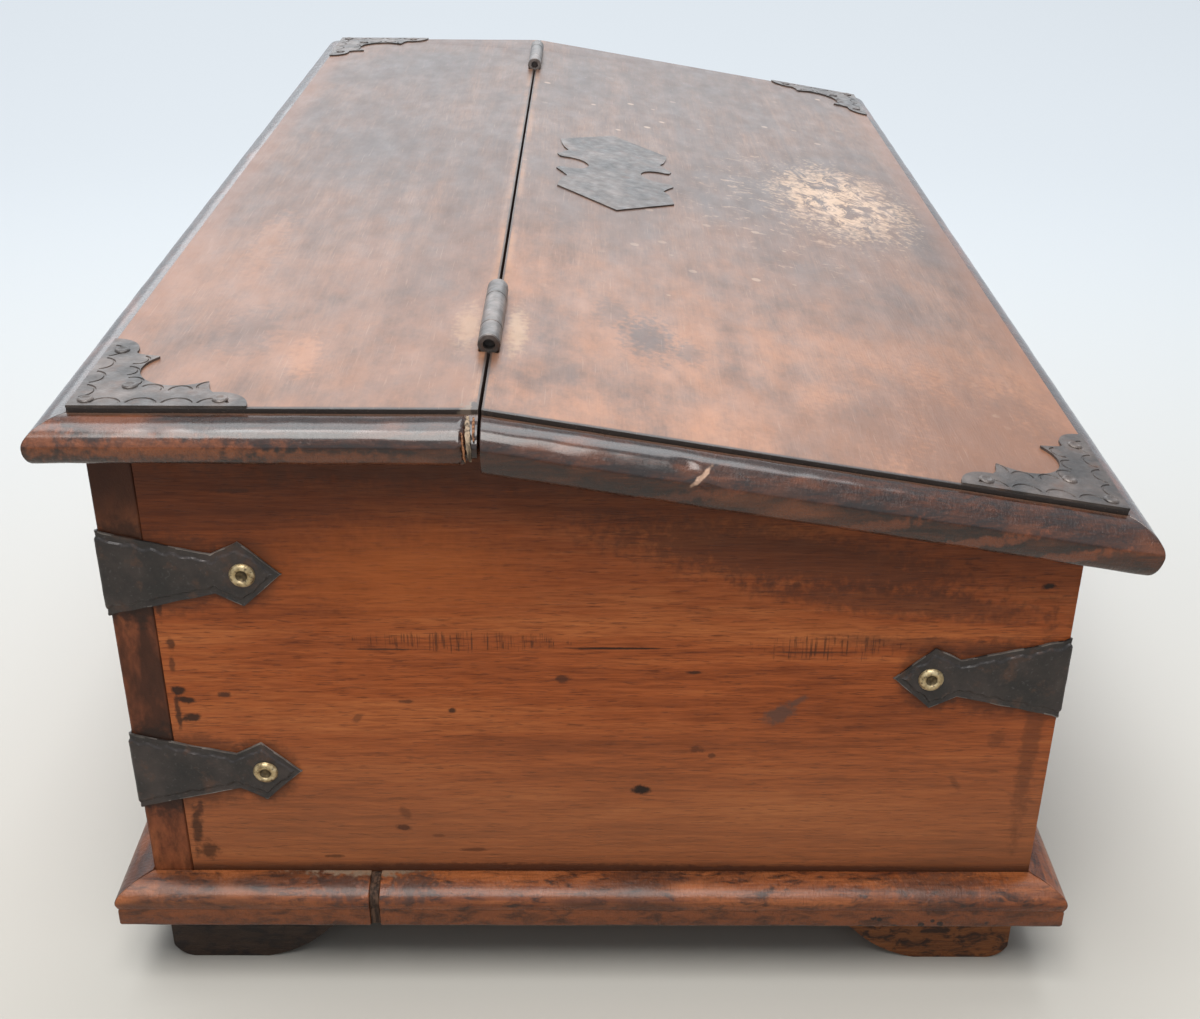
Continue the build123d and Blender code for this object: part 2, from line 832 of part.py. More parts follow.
base_moulding_back.part.label = "base_moulding_back"
export_step(base_moulding_back.part, "parts/base_moulding_back.step")
base_moulding_front.part.label = "base_moulding_front"
export_step(base_moulding_front.part, "parts/base_moulding_front.step")
base_moulding_right.part.label = "base_moulding_right"
export_step(base_moulding_right.part, "parts/base_moulding_right.step")
base_moulding_left_long.part.label = "base_moulding_left_long"
export_step(base_moulding_left_long.part, "parts/base_moulding_left_long.step")
base_moulding_left_filler.part.label = "base_moulding_left_filler"
export_step(base_moulding_left_filler.part, "parts/base_moulding_left_filler.step")
base_moulding_left_short.part.label = "base_moulding_left_short"
export_step(base_moulding_left_short.part, "parts/base_moulding_left_short.step")
foot_back_left_end.part.label = "foot_back_left_end"
export_step(foot_back_left_end.part, "parts/foot_back_left_end.step")
foot_back_left_side.part.label = "foot_back_left_side"
export_step(foot_back_left_side.part, "parts/foot_back_left_side.step")
foot_front_left_end.part.label = "foot_front_left_end"
export_step(foot_front_left_end.part, "parts/foot_front_left_end.step")
foot_front_left_side.part.label = "foot_front_left_side"
export_step(foot_front_left_side.part, "parts/foot_front_left_side.step")
foot_back_right_end.part.label = "foot_back_right_end"
export_step(foot_back_right_end.part, "parts/foot_back_right_end.step")
foot_back_right_side.part.label = "foot_back_right_side"
export_step(foot_back_right_side.part, "parts/foot_back_right_side.step")
foot_front_right_end.part.label = "foot_front_right_end"
export_step(foot_front_right_end.part, "parts/foot_front_right_end.step")
foot_front_right_side.part.label = "foot_front_right_side"
export_step(foot_front_right_side.part, "parts/foot_front_right_side.step")
strap_left_back_high.part.label = "strap_left_back_high"
export_step(strap_left_back_high.part, "parts/strap_left_back_high.step")
strap_left_back_low.part.label = "strap_left_back_low"
export_step(strap_left_back_low.part, "parts/strap_left_back_low.step")
strap_left_front.part.label = "strap_left_front"
export_step(strap_left_front.part, "parts/strap_left_front.step")
strap_right_back_high.part.label = "strap_right_back_high"
export_step(strap_right_back_high.part, "parts/strap_right_back_high.step")
strap_right_back_low.part.label = "strap_right_back_low"
export_step(strap_right_back_low.part, "parts/strap_right_back_low.step")
strap_right_front.part.label = "strap_right_front"
export_step(strap_right_front.part, "parts/strap_right_front.step")
nails_left_end.part.label = "nails_left_end"
export_step(nails_left_end.part, "parts/nails_left_end.step")
nails_right_end.part.label = "nails_right_end"
export_step(nails_right_end.part, "parts/nails_right_end.step")
nails_back.part.label = "nails_back"
export_step(nails_back.part, "parts/nails_back.step")
nails_front.part.label = "nails_front"
export_step(nails_front.part, "parts/nails_front.step")
nails_top_plates.part.label = "nails_top_plates"
export_step(nails_top_plates.part, "parts/nails_top_plates.step")
nails_lid_plates.part.label = "nails_lid_plates"
export_step(nails_lid_plates.part, "parts/nails_lid_plates.step")
top_plate_left.part.label = "top_plate_left"
export_step(top_plate_left.part, "parts/top_plate_left.step")
top_plate_right.part.label = "top_plate_right"
export_step(top_plate_right.part, "parts/top_plate_right.step")
lid_plate_left.part.label = "lid_plate_left"
export_step(lid_plate_left.part, "parts/lid_plate_left.step")
lid_plate_right.part.label = "lid_plate_right"
export_step(lid_plate_right.part, "parts/lid_plate_right.step")
centre_plate.part.label = "centre_plate"
export_step(centre_plate.part, "parts/centre_plate.step")
hinge_left_fixed_leaf.part.label = "hinge_left_fixed_leaf"
export_step(hinge_left_fixed_leaf.part, "parts/hinge_left_fixed_leaf.step")
hinge_left_lid_leaf.part.label = "hinge_left_lid_leaf"
export_step(hinge_left_lid_leaf.part, "parts/hinge_left_lid_leaf.step")
hinge_left_pin.part.label = "hinge_left_pin"
export_step(hinge_left_pin.part, "parts/hinge_left_pin.step")
hinge_right_fixed_leaf.part.label = "hinge_right_fixed_leaf"
export_step(hinge_right_fixed_leaf.part, "parts/hinge_right_fixed_leaf.step")
hinge_right_lid_leaf.part.label = "hinge_right_lid_leaf"
export_step(hinge_right_lid_leaf.part, "parts/hinge_right_lid_leaf.step")
hinge_right_pin.part.label = "hinge_right_pin"
export_step(hinge_right_pin.part, "parts/hinge_right_pin.step")
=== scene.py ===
import math

import bmesh
import bpy
from mathutils import Matrix, Vector, noise


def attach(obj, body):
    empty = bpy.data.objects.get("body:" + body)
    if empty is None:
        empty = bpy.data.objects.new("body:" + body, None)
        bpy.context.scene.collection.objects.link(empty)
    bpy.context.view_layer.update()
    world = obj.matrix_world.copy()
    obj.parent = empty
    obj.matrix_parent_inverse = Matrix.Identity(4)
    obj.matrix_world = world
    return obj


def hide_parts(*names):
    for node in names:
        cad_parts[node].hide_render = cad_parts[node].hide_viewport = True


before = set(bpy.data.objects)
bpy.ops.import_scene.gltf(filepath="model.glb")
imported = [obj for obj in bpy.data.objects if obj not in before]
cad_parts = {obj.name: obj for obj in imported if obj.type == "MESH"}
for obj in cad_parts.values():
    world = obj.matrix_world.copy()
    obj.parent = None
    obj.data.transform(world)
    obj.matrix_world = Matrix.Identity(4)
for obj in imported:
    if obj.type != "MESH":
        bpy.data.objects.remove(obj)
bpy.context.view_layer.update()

MM = 0.001

# Sizes of the model, millimetres
length = 540.5
depth = 300.0
wall = 13.5
wall_rise = 159.7
base_height = 16.0
foot_height = 25.5
board = 14.0
overhang = 2.1
top_depth = 119.0
slope = math.radians(9.478)
nose = 10.0
mould_w = 10.8
ledge = 1.3
top_crown = 8.5
lid_crown = 9.2
lid_mould_drop = 16.6
under_curve = 3.0
base_w = 11.4
base_crown = 5.5
base_bead = 7.6
base_band = 10.8
butt_near = 72.0
filler = 3.4
strap_t = 1.2
plate_t = 0.8
plate_leg = 52.0
barrel_r = 3.6
barrel_len = 52.0
barrel_lift = 2.16
barrel_inset = 44.5
far_inset = 30.4
seam_half = 0.45
pin_r = 1.9
outer_knuckle = 12.5
leaf_t = 0.75
leaf_depth = 11.0
leaf_from_seam = 0.1
seat_gap = 0.12
knuckle_gap = 0.25
strap_high, strap_low, strap_front = 117.5, 42.5, 80.0
strap_points = ((0, 15.0), (33.5, 7.25), (42.0, 11.75), (54.5, 0.0))
strap_reach = 54.5
stud_at = 42.5
nick_at = 66.0
smooth_below = 40

sc, ss = math.cos(slope), math.sin(slope)
half_l = length / 2
half_b = half_l + overhang
base_top = foot_height + base_height
under_board = base_top + wall_rise
top_z = under_board + board
seam_from_back = top_depth - overhang
lid_len = (depth - seam_from_back + nose) / sc
front_reach = seam_from_back + (lid_len + mould_w) * sc - lid_crown * ss - depth / 2
back_reach = depth / 2 + overhang + mould_w
cy = (front_reach - back_reach) / 2
back_y = cy + depth / 2
front_y = cy - depth / 2
seam_y = back_y - seam_from_back
axis_z = top_z + barrel_lift

lid_out = Vector((0, -sc, -ss))
lid_up = Vector((0, -ss, sc))
seam_top = Vector((0, seam_y, top_z))


def lid_pt(x, s, h=0.0):
    return Vector((x, 0, 0)) + seam_top + lid_out * s + lid_up * h


# Materials
class Shade:
    def __init__(self, name):
        self.m = bpy.data.materials.new(name)
        self.m.use_nodes = True
        self.t = self.m.node_tree
        self.t.nodes.clear()
        self.out = self.node("ShaderNodeOutputMaterial")
        self.b = self.node("ShaderNodeBsdfPrincipled")
        self.t.links.new(self.b.outputs[0], self.out.inputs[0])
        self.co = self.node("ShaderNodeTexCoord").outputs["Object"]

    def node(self, kind, **kw):
        n = self.t.nodes.new(kind)
        for k, v in kw.items():
            setattr(n, k, v)
        return n

    def put(self, socket, value):
        if isinstance(value, bpy.types.NodeSocket):
            self.t.links.new(value, socket)
        elif isinstance(value, (tuple, list)) and len(value) == 3 and socket.type == "RGBA":
            socket.default_value = (*value, 1)
        else:
            socket.default_value = value

    def at(self, scale, shift=(0, 0, 0), rot=(0, 0, 0)):
        n = self.node("ShaderNodeMapping")
        self.put(n.inputs["Vector"], self.co)
        n.inputs["Scale"].default_value = scale
        n.inputs["Location"].default_value = shift
        n.inputs["Rotation"].default_value = rot
        return n.outputs[0]

    def noise(self, vec, detail=3.0, rough=0.5, warp=0.0):
        n = self.node("ShaderNodeTexNoise")
        self.put(n.inputs["Vector"], vec)
        n.inputs["Scale"].default_value = 1.0
        n.inputs["Detail"].default_value = detail
        n.inputs["Roughness"].default_value = rough
        n.inputs["Distortion"].default_value = warp
        return n.outputs[0]

    def cells(self, vec):
        n = self.node("ShaderNodeTexVoronoi", feature="F1")
        self.put(n.inputs["Vector"], vec)
        n.inputs["Scale"].default_value = 1.0
        return n.outputs["Distance"]

    def span(self, value, a, b, c=0.0, d=1.0, smooth=False):
        n = self.node("ShaderNodeMapRange")
        n.clamp = True
        if smooth:
            n.interpolation_type = "SMOOTHSTEP"
        self.put(n.inputs[0], value)
        for i, v in enumerate((a, b, c, d)):
            n.inputs[i + 1].default_value = v
        return n.outputs[0]

    def calc(self, op, a, b=0.0):
        n = self.node("ShaderNodeMath", operation=op)
        self.put(n.inputs[0], a)
        self.put(n.inputs[1], b)
        return n.outputs[0]

    def mul(self, a, b):
        return self.calc("MULTIPLY", a, b)

    def mul_add(self, a, b, c):
        value = self.calc("MULTIPLY_ADD", a, b)
        self.put(value.node.inputs[2], c)
        return value

    def mix(self, fac, a, b, mode="MIX"):
        n = self.node("ShaderNodeMix", data_type="RGBA", blend_type=mode)
        self.put(n.inputs[0], fac)
        self.put(n.inputs[6], a)
        self.put(n.inputs[7], b)
        return n.outputs[2]

    def stain(self, col, mask, amount, tone):
        """Lays a tone over a colour where the mask is 1, as strongly as the amount."""
        return self.mix(self.mul(mask, amount), col, tone)

    def ramp(self, fac, stops):
        n = self.node("ShaderNodeValToRGB")
        self.put(n.inputs[0], fac)
        e = n.color_ramp.elements
        while len(e) < len(stops):
            e.new(0.5)
        for i, (p, c) in enumerate(stops):
            e[i].position = p
            e[i].color = (*c, 1)
        return n.outputs[0]

    def spot(self, centre, radii, soft=0.5, ragged=0.25, turn=(0, 0, 0)):
        """1 inside an ellipsoid with a ragged, soft edge, in millimetres."""
        m = self.node("ShaderNodeMapping", vector_type="TEXTURE")
        self.put(m.inputs["Vector"], self.co)
        m.inputs["Location"].default_value = tuple(v * MM for v in centre)
        m.inputs["Rotation"].default_value = tuple(math.radians(v) for v in turn)
        m.inputs["Scale"].default_value = tuple(r * MM for r in radii)
        ln = self.node("ShaderNodeVectorMath", operation="LENGTH")
        self.put(ln.inputs[0], m.outputs[0])
        v = ln.outputs["Value"]
        if not hasattr(self, "rag"):
            fine = self.noise(self.at((420, 420, 420)), 3)
            self.rag = self.calc("SUBTRACT", fine, 0.5)
        v = self.calc("ADD", v, self.mul(self.rag, ragged * 4))
        return self.span(v, 1.0, 1.0 - soft, 0.0, 1.0, True)

    def stains(self, col, rows, soft, ragged):
        """Lays rows of (centre, radii, tone, amount) over a colour; a fifth value turns the ellipsoid."""
        for centre, radii, tone, amount, *turn in rows:
            mask = self.spot(centre, radii, soft, ragged, turn[0] if turn else (0, 0, 0))
            col = self.stain(col, mask, amount, tone)
        return col

    def axis(self, which):
        n = self.node("ShaderNodeSeparateXYZ")
        self.put(n.inputs[0], self.co)
        return n.outputs[which]

    def bump(self, height, strength, dist, chain=None):
        n = self.node("ShaderNodeBump")
        n.inputs["Strength"].default_value = strength
        n.inputs["Distance"].default_value = dist
        self.put(n.inputs["Height"], height)
        if chain is not None:
            self.put(n.inputs["Normal"], chain)
        return n.outputs[0]

    def done(self, color=None, rough=None, normal=None, metallic=None, **fixed):
        if color is not None:
            self.put(self.b.inputs["Base Color"], color)
        if rough is not None:
            self.put(self.b.inputs["Roughness"], rough)
        if normal is not None:
            self.put(self.b.inputs["Normal"], normal)
        if metallic is not None:
            self.put(self.b.inputs["Metallic"], metallic)
        for k, v in fixed.items():
            self.b.inputs[k.replace("_", " ")].default_value = v
        return self.m


def stretch(axis, across, along):
    return tuple(along if i == axis else across for i in range(3))


def wood_grain(s, axis, tones, seed, contrast=1.0):
    """Colour, fibre, pore and blotch values of a board with its grain along that axis."""
    dark, mid, light = tones
    shift = (seed, seed * 1.7, seed * 0.6)
    figure = s.noise(s.at(stretch(axis, 75, 4), shift), 4, 0.62, 1.0)
    fine = s.noise(s.at(stretch(axis, 520, 34), shift), 4, 0.7, 0.4)
    fibre = s.noise(s.at(stretch(axis, 1500, 90), shift), 3, 0.65)
    blotch = s.noise(s.at(stretch(axis, 16, 7), shift), 3, 0.55)
    pores = s.span(s.noise(s.at(stretch(axis, 1900, 150), shift), 2, 0.6), 0.57, 0.68)
    broad = s.mul_add(figure, 0.42 * contrast, s.mul(blotch, 0.30))
    value = s.mul_add(fine, 0.28 * contrast, broad)
    col = s.ramp(value, [(0.36, dark), (0.5, mid), (0.64, light)])
    deep = s.mix(1.0, col, (0.45, 0.36, 0.30), "MULTIPLY")
    col = s.mix(s.span(fibre, 0.42, 0.66, 0.0, 0.55), col, deep)
    return col, fibre, pores, blotch


wall_tones = (0.155, 0.034, 0.008), (0.34, 0.084, 0.020), (0.47, 0.145, 0.042)


black, brown, grey = (0.012, 0.007, 0.005), (0.060, 0.020, 0.010), (0.10, 0.050, 0.036)
# Dents, worm holes and dirt on the near end; the long rows just under the crown and along the foot of the
# wall are dirt and painted shade: across, up, half width, half height, tone, amount and turn
wall_marks = (
    (-16, 34.6, 4.2, 2.3, black, 0.97, 5), (118, 72.4, 2.8, 1.6, brown, 0.9, 0),
    (45.6, 66.6, 1.7, 1.3, black, 0.85, 0), (32.4, 64.4, 1.6, 0.9, brown, 0.4, 0),
    (9.5, 79.0, 3.2, 1.9, brown, 0.8, 0), (60.0, 70.0, 3.2, 0.9, brown, 0.7, 0),
    (76.0, 63.5, 3.4, 1.6, brown, 0.5, -40), (-32, 81.5, 3.4, 0.9, black, 0.8, 0),
    (-60, 65.5, 8.5, 4.0, grey, 0.85, -32), (-66, 70.5, 5.0, 1.4, grey, 0.7, -35),
    (-34, 51.5, 3.0, 2.2, brown, 0.6, 0), (-39, 49.0, 1.6, 1.2, brown, 0.7, 0),
    (-120, 38.0, 1.6, 5.0, brown, 0.35, -30), (64.0, 18.6, 4.0, 1.5, brown, 0.85, 0),
    (62.5, 24.5, 2.2, 4.0, brown, 0.45, -30), (52.0, 15.0, 3.0, 0.9, brown, 0.5, 0),
    (88, 6.0, 4.0, 0.9, black, 0.6, 0), (40, 9.0, 6.0, 1.0, brown, 0.6, 0),
    (-132, 56, 4.0, 5.0, brown, 0.35, 0), (-140.6, 114, 2.6, 1.5, black, 0.95, 0),
    (132.5, 74, 3.0, 2.2, black, 0.9, 0), (130.5, 70.5, 3.6, 1.8, black, 0.9, 10),
    (129.5, 63.5, 4.2, 1.9, black, 0.9, -10), (133.6, 66, 1.2, 9.0, black, 0.8, 0),
    (132.8, 92, 1.6, 3.0, black, 0.7, 0), (133.2, 84, 1.4, 4.0, black, 0.6, 0),
    (134.6, 108, 1.3, 9.0, black, 0.7, 0), (133, 18, 2.4, 13.0, black, 0.75, 4),
    (130, 9, 4.0, 5.0, black, 0.7, 0), (131, 27, 1.6, 5.0, brown, 0.8, 0),
    (100, 157.5, 33.0, 2.6, black, 0.8, 0), (108, 146, 8.0, 1.3, brown, 0.7, 0),
    (60, 154, 70.0, 6.0, brown, 0.45, 0), (20, 152, 120.0, 9.0, brown, 0.4, 0),
    (-60, 124, 80.0, 13.0, brown, 0.6, 9), (-95, 108, 60.0, 7.0, brown, 0.55, 6),
    (-110, 92, 45.0, 4.0, brown, 0.4, 4), (-143, 60, 4.0, 60.0, brown, 0.45, 0),
    (20, 1.4, 90.0, 2.2, brown, 0.7, 0), (-70, 1.2, 60.0, 1.6, brown, 0.6, 0),
)
through = 30.0


def end_at(y, z):
    """A place on the near end, from its middle and the foot of the wall."""
    return -half_l, cy + y, base_top + z


def near_end_marks(s, col):
    rows = [
        (end_at(y, z), (through, ry, rz), tone, amount, (turn, 0, 0))
        for y, z, ry, rz, tone, amount, turn in wall_marks
    ]
    col = s.stains(col, rows, 0.6, 0.32)
    # iron stain round the straps, partly painted shadow
    col = s.stains(col, [
        (end_at(side * (depth / 2 - u), z), (through, ry, rz), (0.035, 0.014, 0.008), 0.55)
        for side, z in ((1, strap_high), (1, strap_low), (-1, strap_front))
        for u, ry, rz in ((18, 27, 17), (42, 13, 15))
    ], 0.35, 0.12)
    for y, z, ry, rz, ragged, amount, tone in (
        (-8, 90.6, 22.0, 0.55, 0.10, 0.95, (0.02, 0.009, 0.006)),
        (66, 90, 14.0, 0.5, 0.2, 0.8, (0.03, 0.014, 0.008)),
        (-70, 89.4, 20.0, 0.5, 0.2, 0.6, (0.03, 0.014, 0.008)),
    ):
        crack = s.spot(end_at(y, z), (through, ry, rz), 0.6, ragged)
        col = s.stain(col, crack, amount, tone)
    hatch = s.span(s.noise(s.at((1, 1100, 45), (2, 3, 1)), 3, 0.7), 0.52, 0.60)
    for y, z, ry, rz in ((42, 93, 38.0, 4.2), (-74, 91, 26.0, 5.0)):
        zone = s.spot(end_at(y, z), (through, ry, rz), 0.5, 0.4)
        col = s.stain(col, s.mul(hatch, zone), 0.7, (0.05, 0.018, 0.009))
    warm = s.spot(end_at(60, 118), (through, 60.0, 26.0), 0.9, 0.15)
    col = s.stain(col, warm, 0.35, (0.46, 0.120, 0.022))
    # end grain of the back wall
    back = s.span(s.axis(1), (back_y - wall - 0.4) * MM, (back_y - wall + 0.2) * MM)
    col = s.mix(back, col, s.mix(1.0, col, (0.42, 0.36, 0.40), "MULTIPLY"))
    return col


def wall_wood(name, axis, seed, marks=False):
    s = Shade(name)
    col, fibre, pores = wood_grain(s, axis, wall_tones, seed)[:3]
    col = s.stain(col, pores, 0.55, (0.06, 0.014, 0.005))
    z = s.axis(2)
    # painted shade: the top of the wall darkened in streaks, under the crown's overhang
    streak = s.noise(s.at(stretch(axis, 70, 2.6), (3.1, seed, 1.2)), 4, 0.62, 0.5)
    high = s.span(z, 0.125, 0.205, 0.0, 1.0, True)
    painted_top_shade = s.mul(high, s.span(streak, 0.30, 0.62, 0.55, 1.0))
    col = s.stain(col, painted_top_shade, 0.95, (0.046, 0.012, 0.005))
    lowgrey = s.span(z, 0.120, 0.050, 0.0, 0.45, True)
    col = s.mix(lowgrey, col, (0.27, 0.118, 0.056))
    # painted shade: darker in the crease where the wall meets the base moulding
    edge = s.span(z, 0.0465, 0.0418, 0.0, 0.85, True)
    col = s.mix(edge, col, (0.035, 0.012, 0.006))
    if marks:
        col = near_end_marks(s, col)
    rough = s.span(s.noise(s.at((130, 130, 130)), 3), 0.3, 0.7, 0.40, 0.60)
    n1 = s.bump(fibre, 0.30, 0.0004)
    n2 = s.bump(s.calc("SUBTRACT", 1.0, pores), 0.35, 0.0003, n1)
    return s.done(col, rough, n2, Specular_IOR_Level=0.22)


def end_grain_wall(name, axis, seed):
    """A long wall: its two end faces show dark end grain."""
    s = Shade(name)
    col, fibre, pores, blotch = wood_grain(s, axis, wall_tones, seed)
    col = s.stain(col, pores, 0.5, (0.06, 0.014, 0.005))
    ends = s.noise(s.at((500, 260, 120), (1, 2, 3)), 4, 0.7)
    patch = s.noise(s.at((40, 60, 22), (5, 1, 2)), 4, 0.65)
    tones = (0.06, 0.020, 0.010), (0.19, 0.055, 0.022), (0.30, 0.095, 0.036)
    end_col = s.ramp(patch, list(zip((0.36, 0.50, 0.62), tones)))
    end_col = s.mix(s.span(ends, 0.4, 0.65, 0.0, 0.6), end_col, (0.035, 0.012, 0.006))
    z = s.axis(2)
    # painted shade: the end grain darker towards the top, under the crown
    top = s.span(z, (base_top + 118) * MM, (base_top + 150) * MM, 0.0, 0.8, True)
    end_col = s.mix(top, end_col, (0.018, 0.010, 0.007))
    # iron stain round the straps on the end grain, partly painted shadow
    for zz in (strap_high, strap_low):
        mask = s.spot((-half_l, back_y - 8, base_top + zz), (30, 20, 21), 0.3, 0.15)
        end_col = s.mix(s.mul(mask, 0.8), end_col, (0.014, 0.009, 0.007))
    off = s.calc("ABSOLUTE", s.axis(0))
    at_end = s.span(off, (half_l - 1.2) * MM, (half_l - 0.5) * MM)
    col = s.mix(at_end, col, end_col)
    # painted shade: the wall darker towards the top, under the crown
    high = s.span(z, 0.150, 0.205, 0.0, 0.7, True)
    col = s.mix(high, col, (0.060, 0.016, 0.006))
    rough = s.span(blotch, 0.3, 0.7, 0.42, 0.62)
    return s.done(col, rough, s.bump(fibre, 0.3, 0.0004), Specular_IOR_Level=0.22)


def top_wood(name, lid):
    s = Shade(name)
    tones = (0.060, 0.028, 0.017), (0.110, 0.054, 0.032), (0.18, 0.092, 0.054)
    col, fibre, pores = wood_grain(s, 0, tones, 4.0 if lid else 11.0)[:3]
    col = s.stain(col, pores, 0.4, (0.05, 0.024, 0.015))
    x = s.axis(0)
    # rubbed orange wood towards the near end
    warm_noise = s.noise(s.at((26, 40, 40), (2, 5, 1)), 9, 0.74)
    near = s.span(x, 0.02, -0.25, 0.0, 1.0, True)
    orange = s.mul(near, s.span(warm_noise, 0.34, 0.60, 0.15, 1.0))
    col = s.stain(col, orange, 0.8, (0.37, 0.155, 0.070) if lid else (0.28, 0.125, 0.065))
    grey = s.span(s.noise(s.at((14, 22, 22), (7, 1, 3)), 9, 0.70), 0.42, 0.60, 0.0, 0.75)
    grey = s.mul(grey, s.span(x, -0.22, 0.05, 0.35, 1.0, True))
    col = s.mix(grey, col, (0.055, 0.034, 0.028))
    if lid:
        def at(xp, sp):
            return lid_pt(-half_b + xp, sp)

        flake = s.noise(s.at((210, 120, 120), (1, 8, 2)), 4, 0.65, 0.8)
        scuff = s.spot(at(292, 150), (72, 40, 60), 0.75, 0.35)
        big = s.noise(s.at((70, 95, 95), (4, 2, 1)), 5, 0.72, 1.2)
        lace = s.mul(scuff, s.span(big, 0.44, 0.52, 0.0, 1.0))
        col = s.stain(col, lace, 0.9, (0.50, 0.33, 0.21))
        veins = s.mul(scuff, s.span(flake, 0.56, 0.62, 0.0, 1.0))
        col = s.stain(col, veins, 0.7, (0.13, 0.070, 0.045))
        trail = s.spot(at(270, 118), (130, 62, 80), 0.9, 0.4)
        lace2 = s.mul(trail, s.span(flake, 0.56, 0.66, 0.0, 1.0))
        col = s.stain(col, lace2, 0.6, (0.38, 0.25, 0.17))
        specks = s.span(s.cells(s.at((62, 62, 62), (0.4, 0.2, 0.7))), 0.13, 0.09, 0.0, 1.0)
        some = s.span(s.noise(s.at((9, 12, 12), (5, 5, 5)), 2), 0.48, 0.6)
        col = s.stain(col, s.mul(specks, some), 0.55, (0.50, 0.36, 0.26))
        for xp, sp, rx, ry, tone, amount in (
            (78, 52, 26, 13, (0.045, 0.032, 0.030), 0.8),
            (96, 40, 20, 9, (0.06, 0.040, 0.034), 0.55),
            (70, 66, 14, 8, (0.05, 0.034, 0.030), 0.5),
            (470, 30, 60, 20, (0.045, 0.032, 0.030), 0.5),
            (220, 22, 60, 12, (0.06, 0.034, 0.026), 0.5),
            (66, 8, 28, 4.5, (0.42, 0.27, 0.15), 0.5),
            (30, 160, 90, 60, (0.15, 0.060, 0.028), 0.75),
            (20, 120, 40, 60, (0.16, 0.065, 0.030), 0.45),
        ):
            col = s.stains(col, [(at(xp, sp), (rx, ry, 60), tone, amount)], 0.8, 0.35)
        rim_from, rim_to = lid_pt(0, lid_len - 14).y, lid_pt(0, lid_len - 1).y
    else:
        for xp, yb, rx, ry, tone, amount in (
            (60, 40, 30, 16, (0.06, 0.034, 0.026), 0.5),
            (300, 60, 90, 26, (0.05, 0.034, 0.030), 0.5),
            (470, 50, 60, 40, (0.045, 0.032, 0.030), 0.5),
            (66, 111, 26, 6, (0.40, 0.24, 0.13), 0.45),
            (40, 62, 22, 8, (0.38, 0.17, 0.085), 0.5),
            (150, 30, 50, 10, (0.30, 0.13, 0.06), 0.4),
        ):
            place = (-half_b + xp, back_y + overhang - yb, top_z)
            col = s.stains(col, [(place, (rx, ry, 40), tone, amount)], 0.8, 0.35)
        rim_from, rim_to = back_y - 12, back_y + 1
    rim = s.span(s.axis(1), rim_from * MM, rim_to * MM, 0.0, 0.4, True)
    col = s.mix(rim, col, (0.24, 0.10, 0.05))
    # painted shade: the board's end above the crown's ledge made nearly black
    end_step_shade = s.span(x, (-half_b + 2.0) * MM, (-half_b + 0.5) * MM, 0.0, 0.97, True)
    col = s.mix(end_step_shade, col, (0.008, 0.005, 0.004))
    off = s.calc("ABSOLUTE", s.calc("SUBTRACT", s.axis(1), seam_y * MM))
    rubbed = s.mul(s.span(off, 0.0045, 0.0015, 0.0, 1.0, True), s.span(warm_noise, 0.42, 0.58))
    col = s.stain(col, rubbed, 0.5, (0.36, 0.17, 0.08))
    col = s.mix(s.span(off, 0.0014, 0.0009, 0.0, 0.9, True), col, (0.03, 0.018, 0.013))
    if not lid:
        # broken corner beside the seam
        broken = ((-half_b + 1, seam_y + 3.0, top_z - 1), (6, 3.0, 5), (0.16, 0.12, 0.09), 0.8)
        crumb = ((-half_b + 2, seam_y + 1.6, top_z - 2), (5, 1.3, 5), (0.03, 0.02, 0.015), 0.9)
        col = s.stains(col, [broken], 0.5, 0.5)
        col = s.stains(col, [crumb], 0.4, 0.5)
    scr = s.span(s.noise(s.at((60, 1800, 1800), (2, 2, 2), (0, 0, 0.2)), 2, 0.5), 0.67, 0.71)
    col = s.stain(col, scr, 0.22, (0.36, 0.24, 0.18))
    rough = s.span(s.noise(s.at((60, 110, 110)), 4, 0.6), 0.3, 0.7, 0.40, 0.52)
    n1 = s.bump(fibre, 0.20, 0.0004)
    n2 = s.bump(s.noise(s.at((50, 160, 160)), 3), 0.25, 0.0010, n1)
    return s.done(col, rough, n2, Specular_IOR_Level=0.5, Coat_Weight=0.2, Coat_Roughness=0.35)


